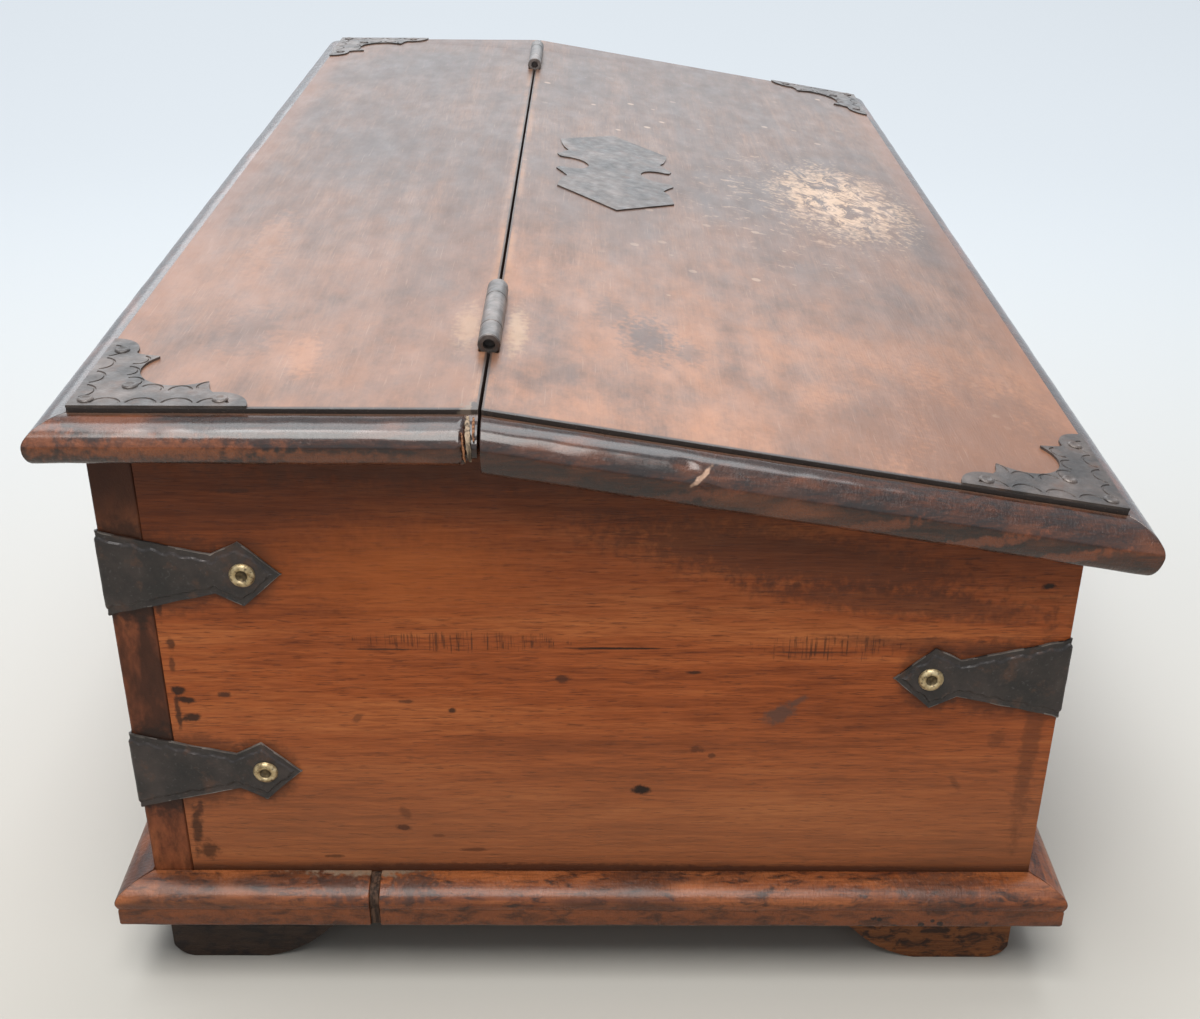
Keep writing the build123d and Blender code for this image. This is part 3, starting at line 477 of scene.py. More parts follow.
def mould_wood(name, axis, seed, base=False):
    s = Shade(name)
    if base:
        tones = (0.040, 0.012, 0.005), (0.15, 0.040, 0.013), (0.28, 0.088, 0.028)
    else:
        tones = (0.006, 0.003, 0.002), (0.018, 0.006, 0.003), (0.08, 0.022, 0.007)
    col = wood_grain(s, axis, tones, seed, 1.2)[0]
    crust = s.noise(s.at(stretch(axis, 330, 120), (seed, 1, 2)), 4, 0.7, 0.5)
    low_crust, high_crust = (0.50, 0.66) if base else (0.44, 0.60)
    col = s.mix(s.span(crust, low_crust, high_crust, 0.0, 0.85), col, (0.012, 0.007, 0.006))
    patch = s.noise(s.at(stretch(axis, 45, 16), (seed, 4, 1)), 3, 0.6)
    col = s.mix(s.span(patch, 0.50, 0.64, 0.0, 0.7), col, (0.030, 0.014, 0.010))
    rub = s.span(s.noise(s.at(stretch(axis, 90, 26), (seed, 3, 3)), 3), 0.55, 0.70, 0.0, 0.6)
    col = s.mix(rub, col, (0.36, 0.115, 0.036) if base else (0.20, 0.058, 0.018))
    slant = (0.35, 0, 0) if axis == 1 else (0, 0.35, 0)
    wrinkle = s.noise(s.at(stretch(axis, 330, 720), (seed, 6, 2), slant), 3, 0.6, 0.8)
    swell = s.noise(s.at(stretch(axis, 260, 90), (seed, 2, 7)), 3, 0.6)
    rough = s.span(s.noise(s.at((220, 220, 220)), 3), 0.3, 0.7, 0.26, 0.46)
    n1 = s.bump(wrinkle, 0.6, 0.0011)
    n2 = s.bump(swell, 0.4, 0.0022, n1)
    z = s.axis(2)
    if base:
        low = s.span(z, (base_top - 7.6) * MM, (base_top - 8.8) * MM, 0.0, 0.85)
        plain = s.mix(s.span(crust, 0.45, 0.62, 0.0, 0.8), (0.17, 0.048, 0.015), (0.035, 0.014, 0.007))
        col = s.mix(low, col, plain)
        # painted shade: darker along the bottom edge of the base moulding where it turns under
        under_edge_shade = s.span(z, (foot_height + 1.6) * MM, (foot_height + 0.2) * MM, 0.0, 0.7)
        col = s.mix(under_edge_shade, col, (0.03, 0.014, 0.009))
        if axis == 1:
            worm = s.cells(s.at((240, 240, 240), (0.3, 0.1, 0.4)))
            zone = s.spot((-half_l - base_band, cy - 100, base_top - 13.2), (6, 42, 2.6), 0.4, 0.3)
            holes = s.mul(s.span(worm, 0.30, 0.24), zone)
            col = s.stain(col, holes, 0.95, (0.01, 0.006, 0.005))
            rows = [
                ((-half_l - 5, cy + y, base_top - 3), (9, ry, 7), (0.045, 0.024, 0.018), amount)
                for y, ry, amount in ((84, 14, 0.7), (61, 11, 0.8), (-118, 26, 0.55), (141, 10, 0.5))
            ]
            dust = ((-half_l, cy + 78, base_top), (3.5, 26, 2.5), (0.26, 0.19, 0.13), 0.6)
            col = s.stains(col, rows + [dust], 0.6, 0.5)
    elif axis == 1:
        cut = s.spot(lid_pt(-half_b - 9, nick_at, -6), (14, 0.9, 5.0), 0.5, 0.25, (52, 0, 0))
        col = s.stain(col, cut, 0.8, (0.52, 0.33, 0.23))
        rubbed_top = [
            ((-half_b - 8, back_y + y, top_z + z), (12, ry, rz), (0.22, 0.062, 0.018), amount)
            for y, z, ry, rz, amount in (
                (-26, -8.5, 44, 4.5, 0.75), (8, -6, 10, 7, 0.6), (-70, -10.5, 30, 3.0, 0.5)
            )
        ]
        rubbed_lid = [
            (lid_pt(-half_b - 8, s_at, -13.5), (12, 22, 2.6), (0.20, 0.052, 0.016), amount, (-9.5, 0, 0))
            for s_at, amount in ((150, 0.7), (178, 0.7), (118, 0.5), (60, 0.35))
        ]
        col = s.stains(col, rubbed_top, 0.7, 0.4)
        col = s.stains(col, rubbed_lid, 0.6, 0.45)
        off = s.calc("ABSOLUTE", s.axis(0))
        dirt = s.span(off, (half_b + 2.4) * MM, (half_b + 0.4) * MM, 0.0, 0.8, True)
        col = s.mix(dirt, col, (0.09, 0.048, 0.030))
    return s.done(col, rough, n2, Specular_IOR_Level=0.1, Coat_Weight=0.4 if base else 0.8,
                  Coat_Roughness=0.3 if base else 0.16, Coat_IOR=1.55)


def foot_wood(name, bare):
    s = Shade(name)
    if bare:
        tones = (0.012, 0.006, 0.004), (0.085, 0.028, 0.010), (0.21, 0.072, 0.022)
    else:
        tones = (0.006, 0.004, 0.004), (0.020, 0.012, 0.009), (0.040, 0.022, 0.014)
    col, fibre, _, blotch = wood_grain(s, 1, tones, 7.0 if bare else 2.0, 1.5)
    crust = s.noise(s.at((260, 120, 260), (3, 1, 2)), 4, 0.7, 0.6)
    col = s.mix(s.span(crust, 0.48, 0.60, 0.0, 0.85), col, (0.010, 0.006, 0.005))
    rough = s.span(blotch, 0.3, 0.7, 0.5, 0.75)
    n1 = s.bump(crust, 0.6, 0.0014)
    return s.done(col, rough, s.bump(fibre, 0.4, 0.0006, n1), Specular_IOR_Level=0.3)


def inner_wood(name, axis):
    s = Shade(name)
    tones = (0.20, 0.095, 0.045), (0.30, 0.155, 0.080), (0.40, 0.22, 0.125)
    col, fibre, pores, blotch = wood_grain(s, axis, tones, 5.0)
    col = s.stain(col, pores, 0.4, (0.12, 0.06, 0.035))
    rough = s.span(blotch, 0.3, 0.7, 0.6, 0.8)
    return s.done(col, rough, s.bump(fibre, 0.3, 0.0004), Specular_IOR_Level=0.3)


def scaled(tone, factor):
    return tuple(v * factor for v in tone)


def raw_wood(name, tone):
    s = Shade(name)
    fibre = s.noise(s.at((900, 900, 140), (1, 2, 3)), 3, 0.65)
    col = s.mix(s.span(fibre, 0.42, 0.6), tone, scaled(tone, 0.25))
    rough = s.span(fibre, 0.3, 0.7, 0.6, 0.8)
    return s.done(col, rough, s.bump(fibre, 0.5, 0.0006), Specular_IOR_Level=0.25)


def iron(name, tone, gloss, coat):
    s = Shade(name)
    c = s.noise(s.at((70, 70, 70)), 4, 0.6)
    col = s.ramp(c, [(0.36, scaled(tone, 0.35)), (0.5, tone), (0.66, scaled(tone, 2.1))])
    rust = s.span(s.noise(s.at((150, 150, 150), (4, 4, 4)), 4, 0.65), 0.56, 0.70, 0.0, 0.6)
    col = s.mix(rust, col, (0.085, 0.038, 0.020))
    fine = s.noise(s.at((900, 900, 900)), 3, 0.6)
    col = s.mix(s.span(fine, 0.60, 0.75, 0.0, 0.30), col, (0.14, 0.13, 0.13))
    rough = s.span(s.noise(s.at((260, 260, 260)), 3), 0.3, 0.7, gloss, gloss + 0.18)
    n1 = s.bump(s.noise(s.at((190, 190, 190)), 3, 0.55), 0.45, 0.0010)
    n2 = s.bump(fine, 0.25, 0.0003, n1)
    return s.done(col, rough, n2, metallic=s.span(c, 0.3, 0.7, 0.05, 0.25), Specular_IOR_Level=0.5,
                  Coat_Weight=coat, Coat_Roughness=0.3)


def brass(name, dull):
    s = Shade(name)
    c = s.noise(s.at((500, 500, 500)), 3, 0.6)
    if dull:
        stops = [(0.3, (0.030, 0.020, 0.010)), (0.5, (0.09, 0.062, 0.030)), (0.7, (0.17, 0.125, 0.065))]
    else:
        stops = [(0.3, (0.22, 0.15, 0.075)), (0.5, (0.46, 0.35, 0.19)), (0.7, (0.66, 0.54, 0.34))]
    col = s.ramp(c, stops)
    dirt = s.span(s.noise(s.at((900, 900, 900), (3, 1, 2)), 2), 0.56, 0.68, 0.0, 0.8)
    col = s.mix(dirt, col, (0.06, 0.042, 0.022))
    metal = s.span(dirt, 0.0, 0.8, 0.75, 0.25)
    return s.done(col, s.span(c, 0.3, 0.7, 0.30, 0.52), s.bump(c, 0.35, 0.0004), metallic=metal)


m_end = wall_wood("wood_end_wall", 1, 1.0, True)
m_end_far = wall_wood("wood_far_end_wall", 1, 6.0)
m_long = end_grain_wall("wood_long_wall", 0, 3.0)
m_top = top_wood("wood_fixed_top", False)
m_lid = top_wood("wood_lid", True)
m_mould_y = mould_wood("wood_crown_end", 1, 2.0)
m_mould_x = mould_wood("wood_crown_long", 0, 5.0)
m_base_y = mould_wood("wood_base_end", 1, 8.0, True)
m_base_x = mould_wood("wood_base_long", 0, 9.0, True)
m_raw = raw_wood("wood_raw_pale", (0.30, 0.22, 0.15))
m_raw_orange = raw_wood("wood_raw_orange", (0.30, 0.13, 0.06))
m_joint = raw_wood("wood_joint_filler", (0.075, 0.040, 0.024))
m_foot_dark = foot_wood("wood_foot_dark", False)
m_foot_brown = foot_wood("wood_foot_brown", True)
m_inner = inner_wood("wood_inside", 0)
m_inner_y = inner_wood("wood_inside_cross", 1)
m_strap = iron("iron_strap", (0.022, 0.016, 0.014), 0.36, 0.05)
m_plate = iron("iron_plate", (0.055, 0.042, 0.036), 0.38, 0.2)
# rubbed iron, partly a painted highlight along the strap edges
m_rubbed_highlit_edge = iron("iron_rubbed_highlit_edge", (0.105, 0.090, 0.080), 0.36, 0.2)
m_barrel = iron("iron_barrel", (0.10, 0.085, 0.078), 0.34, 0.2)
m_brass = brass("brass_nail", False)
m_brass_dull = brass("brass_nail_hollow", True)


# Mesh helpers
def link(name, data):
    ob = bpy.data.objects.new(name, data)
    bpy.context.scene.collection.objects.link(ob)
    return ob


def ease(ob, width, segments=2):
    """Rounds the sharp edges of a piece."""
    m = ob.modifiers.new("edge", "BEVEL")
    m.width = width * MM
    m.segments = segments
    m.limit_method = "ANGLE"
    m.angle_limit = math.radians(38)


def solid(name, verts, faces):
    """A mesh with its doubled points merged and its faces turned outwards."""
    me = bpy.data.meshes.new(name)
    me.from_pydata([tuple(v) for v in verts], [], faces)
    me.validate()
    bm = bmesh.new()
    bm.from_mesh(me)
    bmesh.ops.remove_doubles(bm, verts=bm.verts, dist=1e-6)
    bmesh.ops.recalc_face_normals(bm, faces=bm.faces)
    bm.to_mesh(me)
    bm.free()
    return me


def subtract(ob, tool):
    """Cuts the tool out of a piece for good, and deletes the tool."""
    m = ob.modifiers.new("cut", "BOOLEAN")
    m.object = tool
    m.operation = "DIFFERENCE"
    m.solver = "EXACT"
    bpy.context.view_layer.update()
    graph = bpy.context.evaluated_depsgraph_get()
    new = bpy.data.meshes.new_from_object(ob.evaluated_get(graph))
    ob.modifiers.remove(m)
    ob.data = new
    bpy.data.objects.remove(tool)


def make(name, verts, faces, mat, body, stands_for, smooth, bevel=0.0):
    """A piece from points in millimetres, smooth where its faces meet below that angle."""
    me = solid(name, [tuple(c * MM for c in v) for v in verts], faces)
    ob = link(name, me)
    me.materials.append(mat)
    if bevel:
        ease(ob, bevel)
    for p in me.polygons:
        p.use_smooth = True
    me.set_sharp_from_angle(angle=math.radians(smooth))
    if stands_for:
        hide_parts(*stands_for)
    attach(ob, body)
    return ob


def wobble(p, seed, amp, size):
    return amp * (0.5 + 0.5 * noise.noise(Vector((p.x / size + seed, p.y / size, p.z / size))))


def loft(rows, k):
    """Faces of a closed bar whose cross sections have k points each."""
    faces = [
        (i * k + j, i * k + (j + 1) % k, (i + 1) * k + (j + 1) % k, (i + 1) * k + j)
        for i in range(rows - 1)
        for j in range(k)
    ]
    return faces + [tuple(range(k)), tuple((rows - 1) * k + j for j in range(k))]


def worn(p, place, profile, axes, texture, dent):
    """A point of a moulding, pressed in by wear and by a dent; place is (along, outward, upward)."""
    a, o, h = place
    out, up = axes[:2]
    amp, seed, grain = texture[1:]
    if o <= 0.4:
        return p
    centre_o = sum(q[0] for q in profile) / len(profile)
    centre_h = sum(q[1] for q in profile) / len(profile)
    d = Vector((centre_o - o, centre_h - h)).normalized()
    w = wobble(p, seed, amp, grain) + (dent(a, o, h) if dent else 0.0)
    return p + out * (d.x * w) + up * (d.y * w)


def sweep(name, node, mat, origin, axes, run, profile, slopes, texture, body="carcase", dent=None):
    """A profile of (outward, upward) points carried along a line, its ends cut square or in a mitre.

    axes point outward, upward and along; texture is the step, the depth, the seed and the size of the wear.
    """
    out, up, along = axes
    rows = max(2, int(run / texture[0]) + 1)
    verts = []
    for i in range(rows):
        t = i / (rows - 1)
        for o, h in profile:
            a = (1 - t) * slopes[0] * o + t * (run + slopes[1] * o)
            p = origin + out * o + up * h + along * a
            verts.append(worn(p, (a, o, h), profile, axes, texture, dent))
    faces = loft(rows, len(profile))
    return make(name, verts, faces, mat, body, [node], smooth_below, 0.3)


def arc(c, rx, ry, a0, a1, n):
    angles = [math.radians(a0 + (a1 - a0) * i / n) for i in range(n + 1)]
    return [(c[0] + rx * math.cos(a), c[1] + ry * math.sin(a)) for a in angles]


def crown_profile(crown, drop):
    pts = [(0, -drop), (0, -ledge - 0.25), (0.6, -ledge)]
    pts += arc((0, -crown), mould_w, crown - ledge, 86, 0, 14)
    pts += arc((mould_w - under_curve, -crown), under_curve, drop - crown, -12, -90, 7)
    return pts


def base_profile():
    pts = [(0, -base_height), (0, -0.1), (0.8, 0)]
    pts += arc((0.8, -base_crown), base_w - 0.8, base_crown, 80, 0, 12)
    pts += [
        (base_w - 0.05, -base_bead + 1.2),
        (base_w - 0.35, -base_bead + 0.2),
        (base_band + 0.05, -base_bead - 0.5),
        (base_band - 0.25, -base_bead - 1.0),
        (base_band, -base_bead - 1.8),
        (base_band, -base_height + 1.4),
        (base_band - 0.4, -base_height + 0.4),
        (base_band - 1.4, -base_height),
    ]
    return pts


X, Y, Z = Vector((1, 0, 0)), Vector((0, 1, 0)), Vector((0, 0, 1))


def chip(a, o, h):
    """Broken end of the crown beside the seam."""
    ragged = 4.6 + 1.6 * noise.noise(Vector((o * 0.5, h * 0.6, 2.0)))
    return 1.9 * max(0.0, min(1.0, (ragged - a) / 1.2))


def nick(a, o, h):
    """A slanting cut in the lid's end moulding."""
    d = abs((a - (lid_len - nick_at)) - (h + 7) * 1.4) / 1.4
    return 0.9 * max(0.0, 1 - d) if -11 < h < -3 else 0.0


# Crown mouldings of the fixed top and of the lid
top_prof = crown_profile(top_crown, board)
lid_prof = crown_profile(lid_crown, lid_mould_drop)
end_run = top_depth - seam_half
back_corner = Vector((-half_b, back_y + overhang, top_z))
sweep("crown_back", "top_moulding_back", m_mould_x, back_corner, (Y, Z, X), 2 * half_b, top_prof, (-1, 1),
      (6.0, 0.35, 2.0, 14.0))
for side, tag, texture, dent in (
    (-1, "left", (0.8, 0.4, 5.0, 9.0), chip),
    (1, "right", (4.0, 0.35, 7.0, 14.0), None),
):
    at_seam = Vector((side * half_b, seam_y + seam_half, top_z))
    sweep("crown_" + tag, "top_moulding_" + tag, m_mould_y, at_seam, (X * side, Z, Y), end_run, top_prof,
          (0, 1), texture, dent=dent)
sweep("lid_crown_front", "lid_moulding_front", m_mould_x, lid_pt(-half_b, lid_len), (lid_out, lid_up, X),
      2 * half_b, lid_prof, (-1, 1), (6.0, 0.35, 3.0, 14.0), body="lid")


def splinter(name, y_top, y_low, width, first, last, lift, mat):
    """A shard of bare wood along the crown's curve."""
    run = top_prof[1:][first:last]
    verts = []
    n = len(run)
    for i, (o, h) in enumerate(run):
        t = i / (n - 1)
        w = width * (0.35 + 0.65 * math.sin(math.pi * (0.12 + 0.8 * t)))
        w *= 0.85 + 0.3 * noise.noise(Vector((i * 0.9, y_top, 0)))
        y = seam_y + seam_half + y_top + (y_low - y_top) * t
        y += 0.25 * noise.noise(Vector((i * 1.3, y_low, 4)))
        inward = Vector((mould_w * 0.3 - o, -top_crown - h)).normalized()
        for depth_in, sides in ((lift, (-0.5, 0.5)), (2.4, (0.5, -0.5))):
            q = Vector((-(half_b + o + inward.x * depth_in), 0, top_z + h + inward.y * depth_in))
            verts += [q + Y * (y + side * w) for side in sides]
    return make(name, verts, loft(n, 4), mat, "carcase", [], 30)


splinter("crown_splinter_pale", 3.1, 2.0, 1.7, 1, 21, 0.45, m_raw)
splinter("crown_splinter_thin", 1.3, 0.9, 0.9, 2, 13, 0.7, m_raw_orange)
splinter("crown_splinter_edge", 4.3, 3.4, 0.7, 9, 22, 0.25, m_raw_orange)


def lid_side(name, side, node, amp, dent):
    """End moulding of the lid: mitred in front, cut upright at the seam."""
    n = int(lid_len / 2.4)
    axes = (X * side, lid_up)
    verts = []
    for i in range(n + 1):
        t = i / n
        for o, h in lid_prof:
            begin, end = (seam_half - h * ss) / sc, lid_len + o
            s_at = begin + (end - begin) * t
            p = lid_pt(side * half_b, s_at, h) + X * (side * o)
            place = (lid_len - s_at, o, h)
            verts.append(worn(p, place, lid_prof, axes, (0, amp, 4.0 + side, 9.0), dent))
    faces = loft(n + 1, len(lid_prof))
    return make(name, verts, faces, m_mould_y, "lid", [node], smooth_below, 0.3)


lid_side("lid_crown_left", -1, "lid_moulding_left", 0.45, nick)
lid_side("lid_crown_right", 1, "lid_moulding_right", 0.35, None)

# Base moulding, in two lengths and a filler on the near end
base_prof = base_profile()
filler_prof = [(o * 0.93, h if h < -0.5 else h - 0.5) for o, h in base_prof]
left, right = -half_l, half_l
for tag, mat, (x, y), out, along, run, profile, slopes, texture in (
    ("back", m_base_x, (left, back_y), Y, X, length, base_prof, (-1, 1), (6.0, 0.3, 1.0, 14.0)),
    ("front", m_base_x, (left, front_y), -Y, X, length, base_prof, (-1, 1), (6.0, 0.3, 2.5, 14.0)),
    ("right", m_base_y, (right, front_y), X, Y, depth, base_prof, (-1, 1), (6.0, 0.3, 3.5, 14.0)),
    ("left_long", m_base_y, (left, front_y), -X, Y, depth / 2 + butt_near, base_prof, (-1, 0),
     (3.0, 0.4, 4.5, 10.0)),
    ("left_filler", m_joint, (left, cy + butt_near), -X, Y, filler, filler_prof, (0, 0),
     (1.1, 0.5, 6.0, 3.0)),
    ("left_short", m_base_y, (left, cy + butt_near + filler), -X, Y, depth / 2 - butt_near - filler,
     base_prof, (0, 1), (3.0, 0.4, 8.5, 10.0)),
):
    sweep("base_" + tag, "base_moulding_" + tag, mat, Vector((x, y, base_top)), (out, Z, along), run,
          profile, slopes, texture)


# Boards and walls: prisms with eased edges
def prism(name, node, outline, x0, x1, mat, body, bevel):
    verts = [Vector((x, y, z)) for x in (x0, x1) for y, z in outline]
    return make(name, verts, loft(2, len(outline)), mat, body, [node], smooth_below, bevel)


def lid_top_at(y):
    return top_z - (seam_y - y) * math.tan(slope)


def wall_top_at(y):
    return lid_top_at(y) - board / sc - seat_gap


inner_back, inner_front = back_y - wall, front_y + wall
butt_gap = 0.1
end_outline = [
    (front_y, foot_height), (inner_back - butt_gap, foot_height), (inner_back - butt_gap, under_board),
    (seam_y, under_board), (seam_y, wall_top_at(seam_y)), (front_y, wall_top_at(front_y)),
]
back_outline = [
    (inner_back, foot_height), (back_y, foot_height), (back_y, under_board), (inner_back, under_board),
]
front_outline = [
    (front_y + butt_gap, foot_height), (inner_front, foot_height),
    (inner_front, wall_top_at(inner_front)), (front_y + butt_gap, wall_top_at(front_y)),
]
for tag, node, outline, x0, x1, mat, bevel in (
    ("left", "end_wall_left", end_outline, -half_l, -half_l + wall, m_end, 0.7),
    ("right", "end_wall_right", end_outline, half_l - wall, half_l, m_end_far, 0.7),
    ("back", "back_wall", back_outline, -half_l + 0.25, half_l - 0.25, m_long, 0.8),
    ("front", "front_wall", front_outline, -half_l + wall, half_l - wall, m_long, 0.5),
):
    prism("wall_" + tag, node, outline, x0, x1, mat, "carcase", bevel)
hinge_x = [barrel_inset + barrel_len / 2 - half_b, half_b - far_inset - barrel_len / 2]


def cut_beds(ob):
    """Takes the barrels' beds and the leaves' recesses out of a board."""
    bed = barrel_r + 0.5
    leaf_half = leaf_t + 0.12
    low = top_z - leaf_depth - seat_gap - axis_z
    outline = [(leaf_half, low)] + arc((0, 0), bed, bed, -63.9, 252, 39) + [(-leaf_half, low)]
    for hx in hinge_x:
        ends = [hx + end * (barrel_len + 0.5) for end in (-0.5, 0.5)]
        verts = [Vector((x, seam_y + u, axis_z + w)) * MM for x in ends for u, w in outline]
        subtract(ob, link("bed", solid("bed", verts, loft(2, len(outline)))))


def board_piece(name, node, outline, mat, body):
    ob = prism(name, node, outline, -half_b, half_b, mat, body, 0.0)
    cut_beds(ob)
    # the underside is plain wood
    ob.data.materials.append(m_inner)
    for f in ob.data.polygons:
        if f.normal.z < -0.5:
            f.material_index = 1
    ease(ob, 0.9, 3)


lid_nose, under_nose = lid_pt(0, lid_len), lid_pt(0, lid_len, -board)
y_lid, y_top = seam_y - seam_half, seam_y + seam_half
lid_outline = [
    (lid_nose.y, lid_nose.z), (y_lid, lid_top_at(y_lid)), (y_lid, lid_top_at(y_lid) - board / sc),
    (under_nose.y, under_nose.z),
]
top_outline = [
    (y_top, top_z), (back_y + overhang, top_z), (back_y + overhang, under_board), (y_top, under_board),
]
board_piece("board_lid", "lid_board", lid_outline, m_lid, "lid")
board_piece("board_top", "fixed_top", top_outline, m_top, "carcase")


# Straps: a hammered band bent round the corner, with an arrow head on each leg
def strap_half_width(u):
    for (a, wa), (b, wb) in zip(strap_points, strap_points[1:]):
        if u <= b:
            return wa + (wb - wa) * (u - a) / (b - a)
    return 0.0


def rub_and_highlight_edge(ob, z, seed):
    """Pale rubbed iron, partly a painted highlight, on the outermost strip of a strap, here and there."""
    ob.data.materials.append(m_rubbed_highlit_edge)
    for f in ob.data.polygons:
        c = f.center / MM
        run = (depth / 2 - abs(c.y - cy)) if abs(c.x) > half_l - 0.01 else (half_l - abs(c.x))
        from_side = strap_half_width(max(0.0, run)) - abs(c.z - z)
        from_tip = strap_reach - run if run > 40 else 9.0
        patchy = noise.noise(Vector((c.x * 0.12, c.y * 0.12, c.z * 0.3 + seed))) > 0.02
        if min(from_side, from_tip) < 0.6 and patchy:
            f.material_index = 1


def strap_lift(u, v, lo, hi, leg, seed):
    """Height of the iron over the wood: eased edges, an inner lip and hammer marks."""
    edge = min(v - lo, hi - v, strap_reach - u if u > 40 else 9.0)
    lift = strap_t - 0.45 * max(0.0, 1 - edge / 0.7) ** 2
    wave = edge + 1.3 * noise.noise(Vector((u * 0.34 + seed, (v > 0) * 7.0, leg * 5.0)))
    inner = min(1.0, max(0.0, (wave - 2.4) / 0.4))
    lift -= 0.55 * (1 - inner) * (1.0 if edge > 0.7 else edge / 0.7)
    lift -= 0.14 * (0.5 + 0.5 * noise.noise(Vector((u * 0.22 + seed, v * 0.22, leg * 9.0))))
    return max(0.15, lift)


def strap(name, end_side, side, z, node, seed):
    corner = Vector((end_side * half_l, cy + side * depth / 2, z))
    e_dir, s_dir = Vector((0, -side, 0)), Vector((-end_side, 0, 0))
    e_out, s_out = Vector((end_side, 0, 0)), Vector((0, side, 0))
    us = sorted(set([0.0, 0.4, 33.5, 42.0, 54.45, 43.2, 49, 52.5, 53.8] + [i * 0.75 for i in range(1, 72)]))
    stations = [(u, corner + e_dir * u, e_out, 0) for u in reversed(us)]
    for i in range(1, 6):
        t = i / 6 * math.pi / 2
        stations.append((0.0, corner, e_out * math.cos(t) + s_out * math.sin(t), 1))
    stations += [(u, corner + s_dir * u, s_out, 2) for u in us]
    cols = 57
    top, low = [], []
    verts, faces = [], []
    for u, base, out, leg in stations:
        w = strap_half_width(u) - 0.35 * (u > 1)
        jags = [
            0.35 * noise.noise(Vector((u * 0.16 + way * seed, leg * 3.0, other))) if 1.0 < u < 52 else 0.0
            for way, other in ((1, 0.0), (-1, 5.0))
        ]
        lo, hi = -max(0.05, w + jags[0]), max(0.05, w + jags[1])
        row_t, row_b = [], []
        for j in range(cols):
            v = lo + (hi - lo) * j / (cols - 1)
            row_t.append(len(verts))
            verts.append(base + Z * v + out * strap_lift(u, v, lo, hi, leg, seed))
            row_b.append(len(verts))
            verts.append(base + Z * v + out * 0.02)
        top.append(row_t)
        low.append(row_b)
    for i in range(len(stations) - 1):
        for j in range(cols - 1):
            faces.append((top[i][j], top[i][j + 1], top[i + 1][j + 1], top[i + 1][j]))
            faces.append((low[i][j], low[i + 1][j], low[i + 1][j + 1], low[i][j + 1]))
        for j in (0, cols - 1):
            faces.append((top[i][j], top[i + 1][j], low[i + 1][j], low[i][j]))
    for i in (0, len(stations) - 1):
        for j in range(cols - 1):
            faces.append((top[i][j], low[i][j], low[i][j + 1], top[i][j + 1]))
    rub_and_highlight_edge(make(name, verts, faces, m_strap, "carcase", [node], 35), z, seed)


strap_spots = []
for end_side, tag in ((-1, "left"), (1, "right")):
    for side, z, part in (
        (1, strap_high, "back_high"),
        (1, strap_low, "back_low"),
        (-1, strap_front, "front"),
    ):
        strap_spots.append((end_side, side, base_top + z, "%s_%s" % (tag, part)))
for i, (end_side, side, z, tag) in enumerate(strap_spots):
    strap("band_" + tag, end_side, side, z, "strap_" + tag, 3.7 * i + 1)


def lathe(profile, base, out, segs, verts, faces):
    """Adds a turned piece with (radius, height) points to the lists."""
    side = out.orthogonal().normalized()
    other = out.cross(side)
    rows = []
    for r, h in profile:
        if r < 1e-6:
            rows.append([len(verts)])
            verts.append(base + out * h)
            continue
        rows.append([len(verts) + i for i in range(segs)])
        for i in range(segs):
            a = 2 * math.pi * i / segs
            verts.append(base + out * h + (side * math.cos(a) + other * math.sin(a)) * r)
    for a, b in zip(rows, rows[1:]):
        for i in range(segs):
            j = (i + 1) % segs
            if len(a) == 1 and len(b) == 1:
                continue
            if len(a) == 1:
                faces.append((a[0], b[i], b[j]))
            elif len(b) == 1:
                faces.append((a[i], a[j], b[0]))
            else:
                faces.append((a[i], a[j], b[j], b[i]))


# Brass nails with a hollow in the head
brass_profile = [
    (0, -8.0), (1.25, -8.0), (1.25, -0.05), (3.9, -0.05), (4.1, 0.12), (4.02, 0.5), (3.75, 0.95),
    (3.35, 1.3), (2.9, 1.5), (2.5, 1.52), (2.15, 1.38), (1.85, 1.05), (1.5, 0.7), (1.1, 0.5),
    (0.7, 0.42), (0.45, 0.6), (0, 0.66),
]


def brass_nails(name, chosen, on_end, node):
    verts, faces, heads = [], [], []
    for i, (es, side, z, _) in enumerate(chosen):
        if on_end:
            p, out = Vector((es * half_l, cy + side * (depth / 2 - stud_at), z)), Vector((es, 0, 0))
        else:
            p, out = Vector((es * (half_l - stud_at), cy + side * depth / 2, z)), Vector((0, side, 0))
        tilt = (0.05 * math.sin(7.0 * i + es), 0.05 * math.cos(5.0 * i), 0.06 * math.sin(3.0 * i + 1))
        lean = (out + Vector(tilt)).normalized()
        lathe(brass_profile, p + out * (strap_t - 0.28), lean, 40, verts, faces)
        heads.append((p, out))
    ob = make(name, verts, faces, m_brass, "carcase", [node], 60)
    ob.data.materials.append(m_brass_dull)
    for f in ob.data.polygons:
        c = f.center / MM
        for p, out in heads:
            d = c - p
            if d.length < 12 and (d - out * d.dot(out)).length < 1.75 and d.dot(out) > 0.5:
                f.material_index = 1


brass_nails("studs_left_end", [s for s in strap_spots if s[0] < 0], True, "nails_left_end")
brass_nails("studs_right_end", [s for s in strap_spots if s[0] > 0], True, "nails_right_end")
brass_nails("studs_back", [s for s in strap_spots if s[1] > 0], False, "nails_back")
brass_nails("studs_front", [s for s in strap_spots if s[1] < 0], False, "nails_front")


# Corner plates with chased half rounds, and the long plate on the lid
def slab(name, outline, thickness):
    """A flat plate in its own plane, in millimetres."""
    return solid(name, [(u, v, h) for h in (0, thickness) for u, v in outline], loft(2, len(outline)))


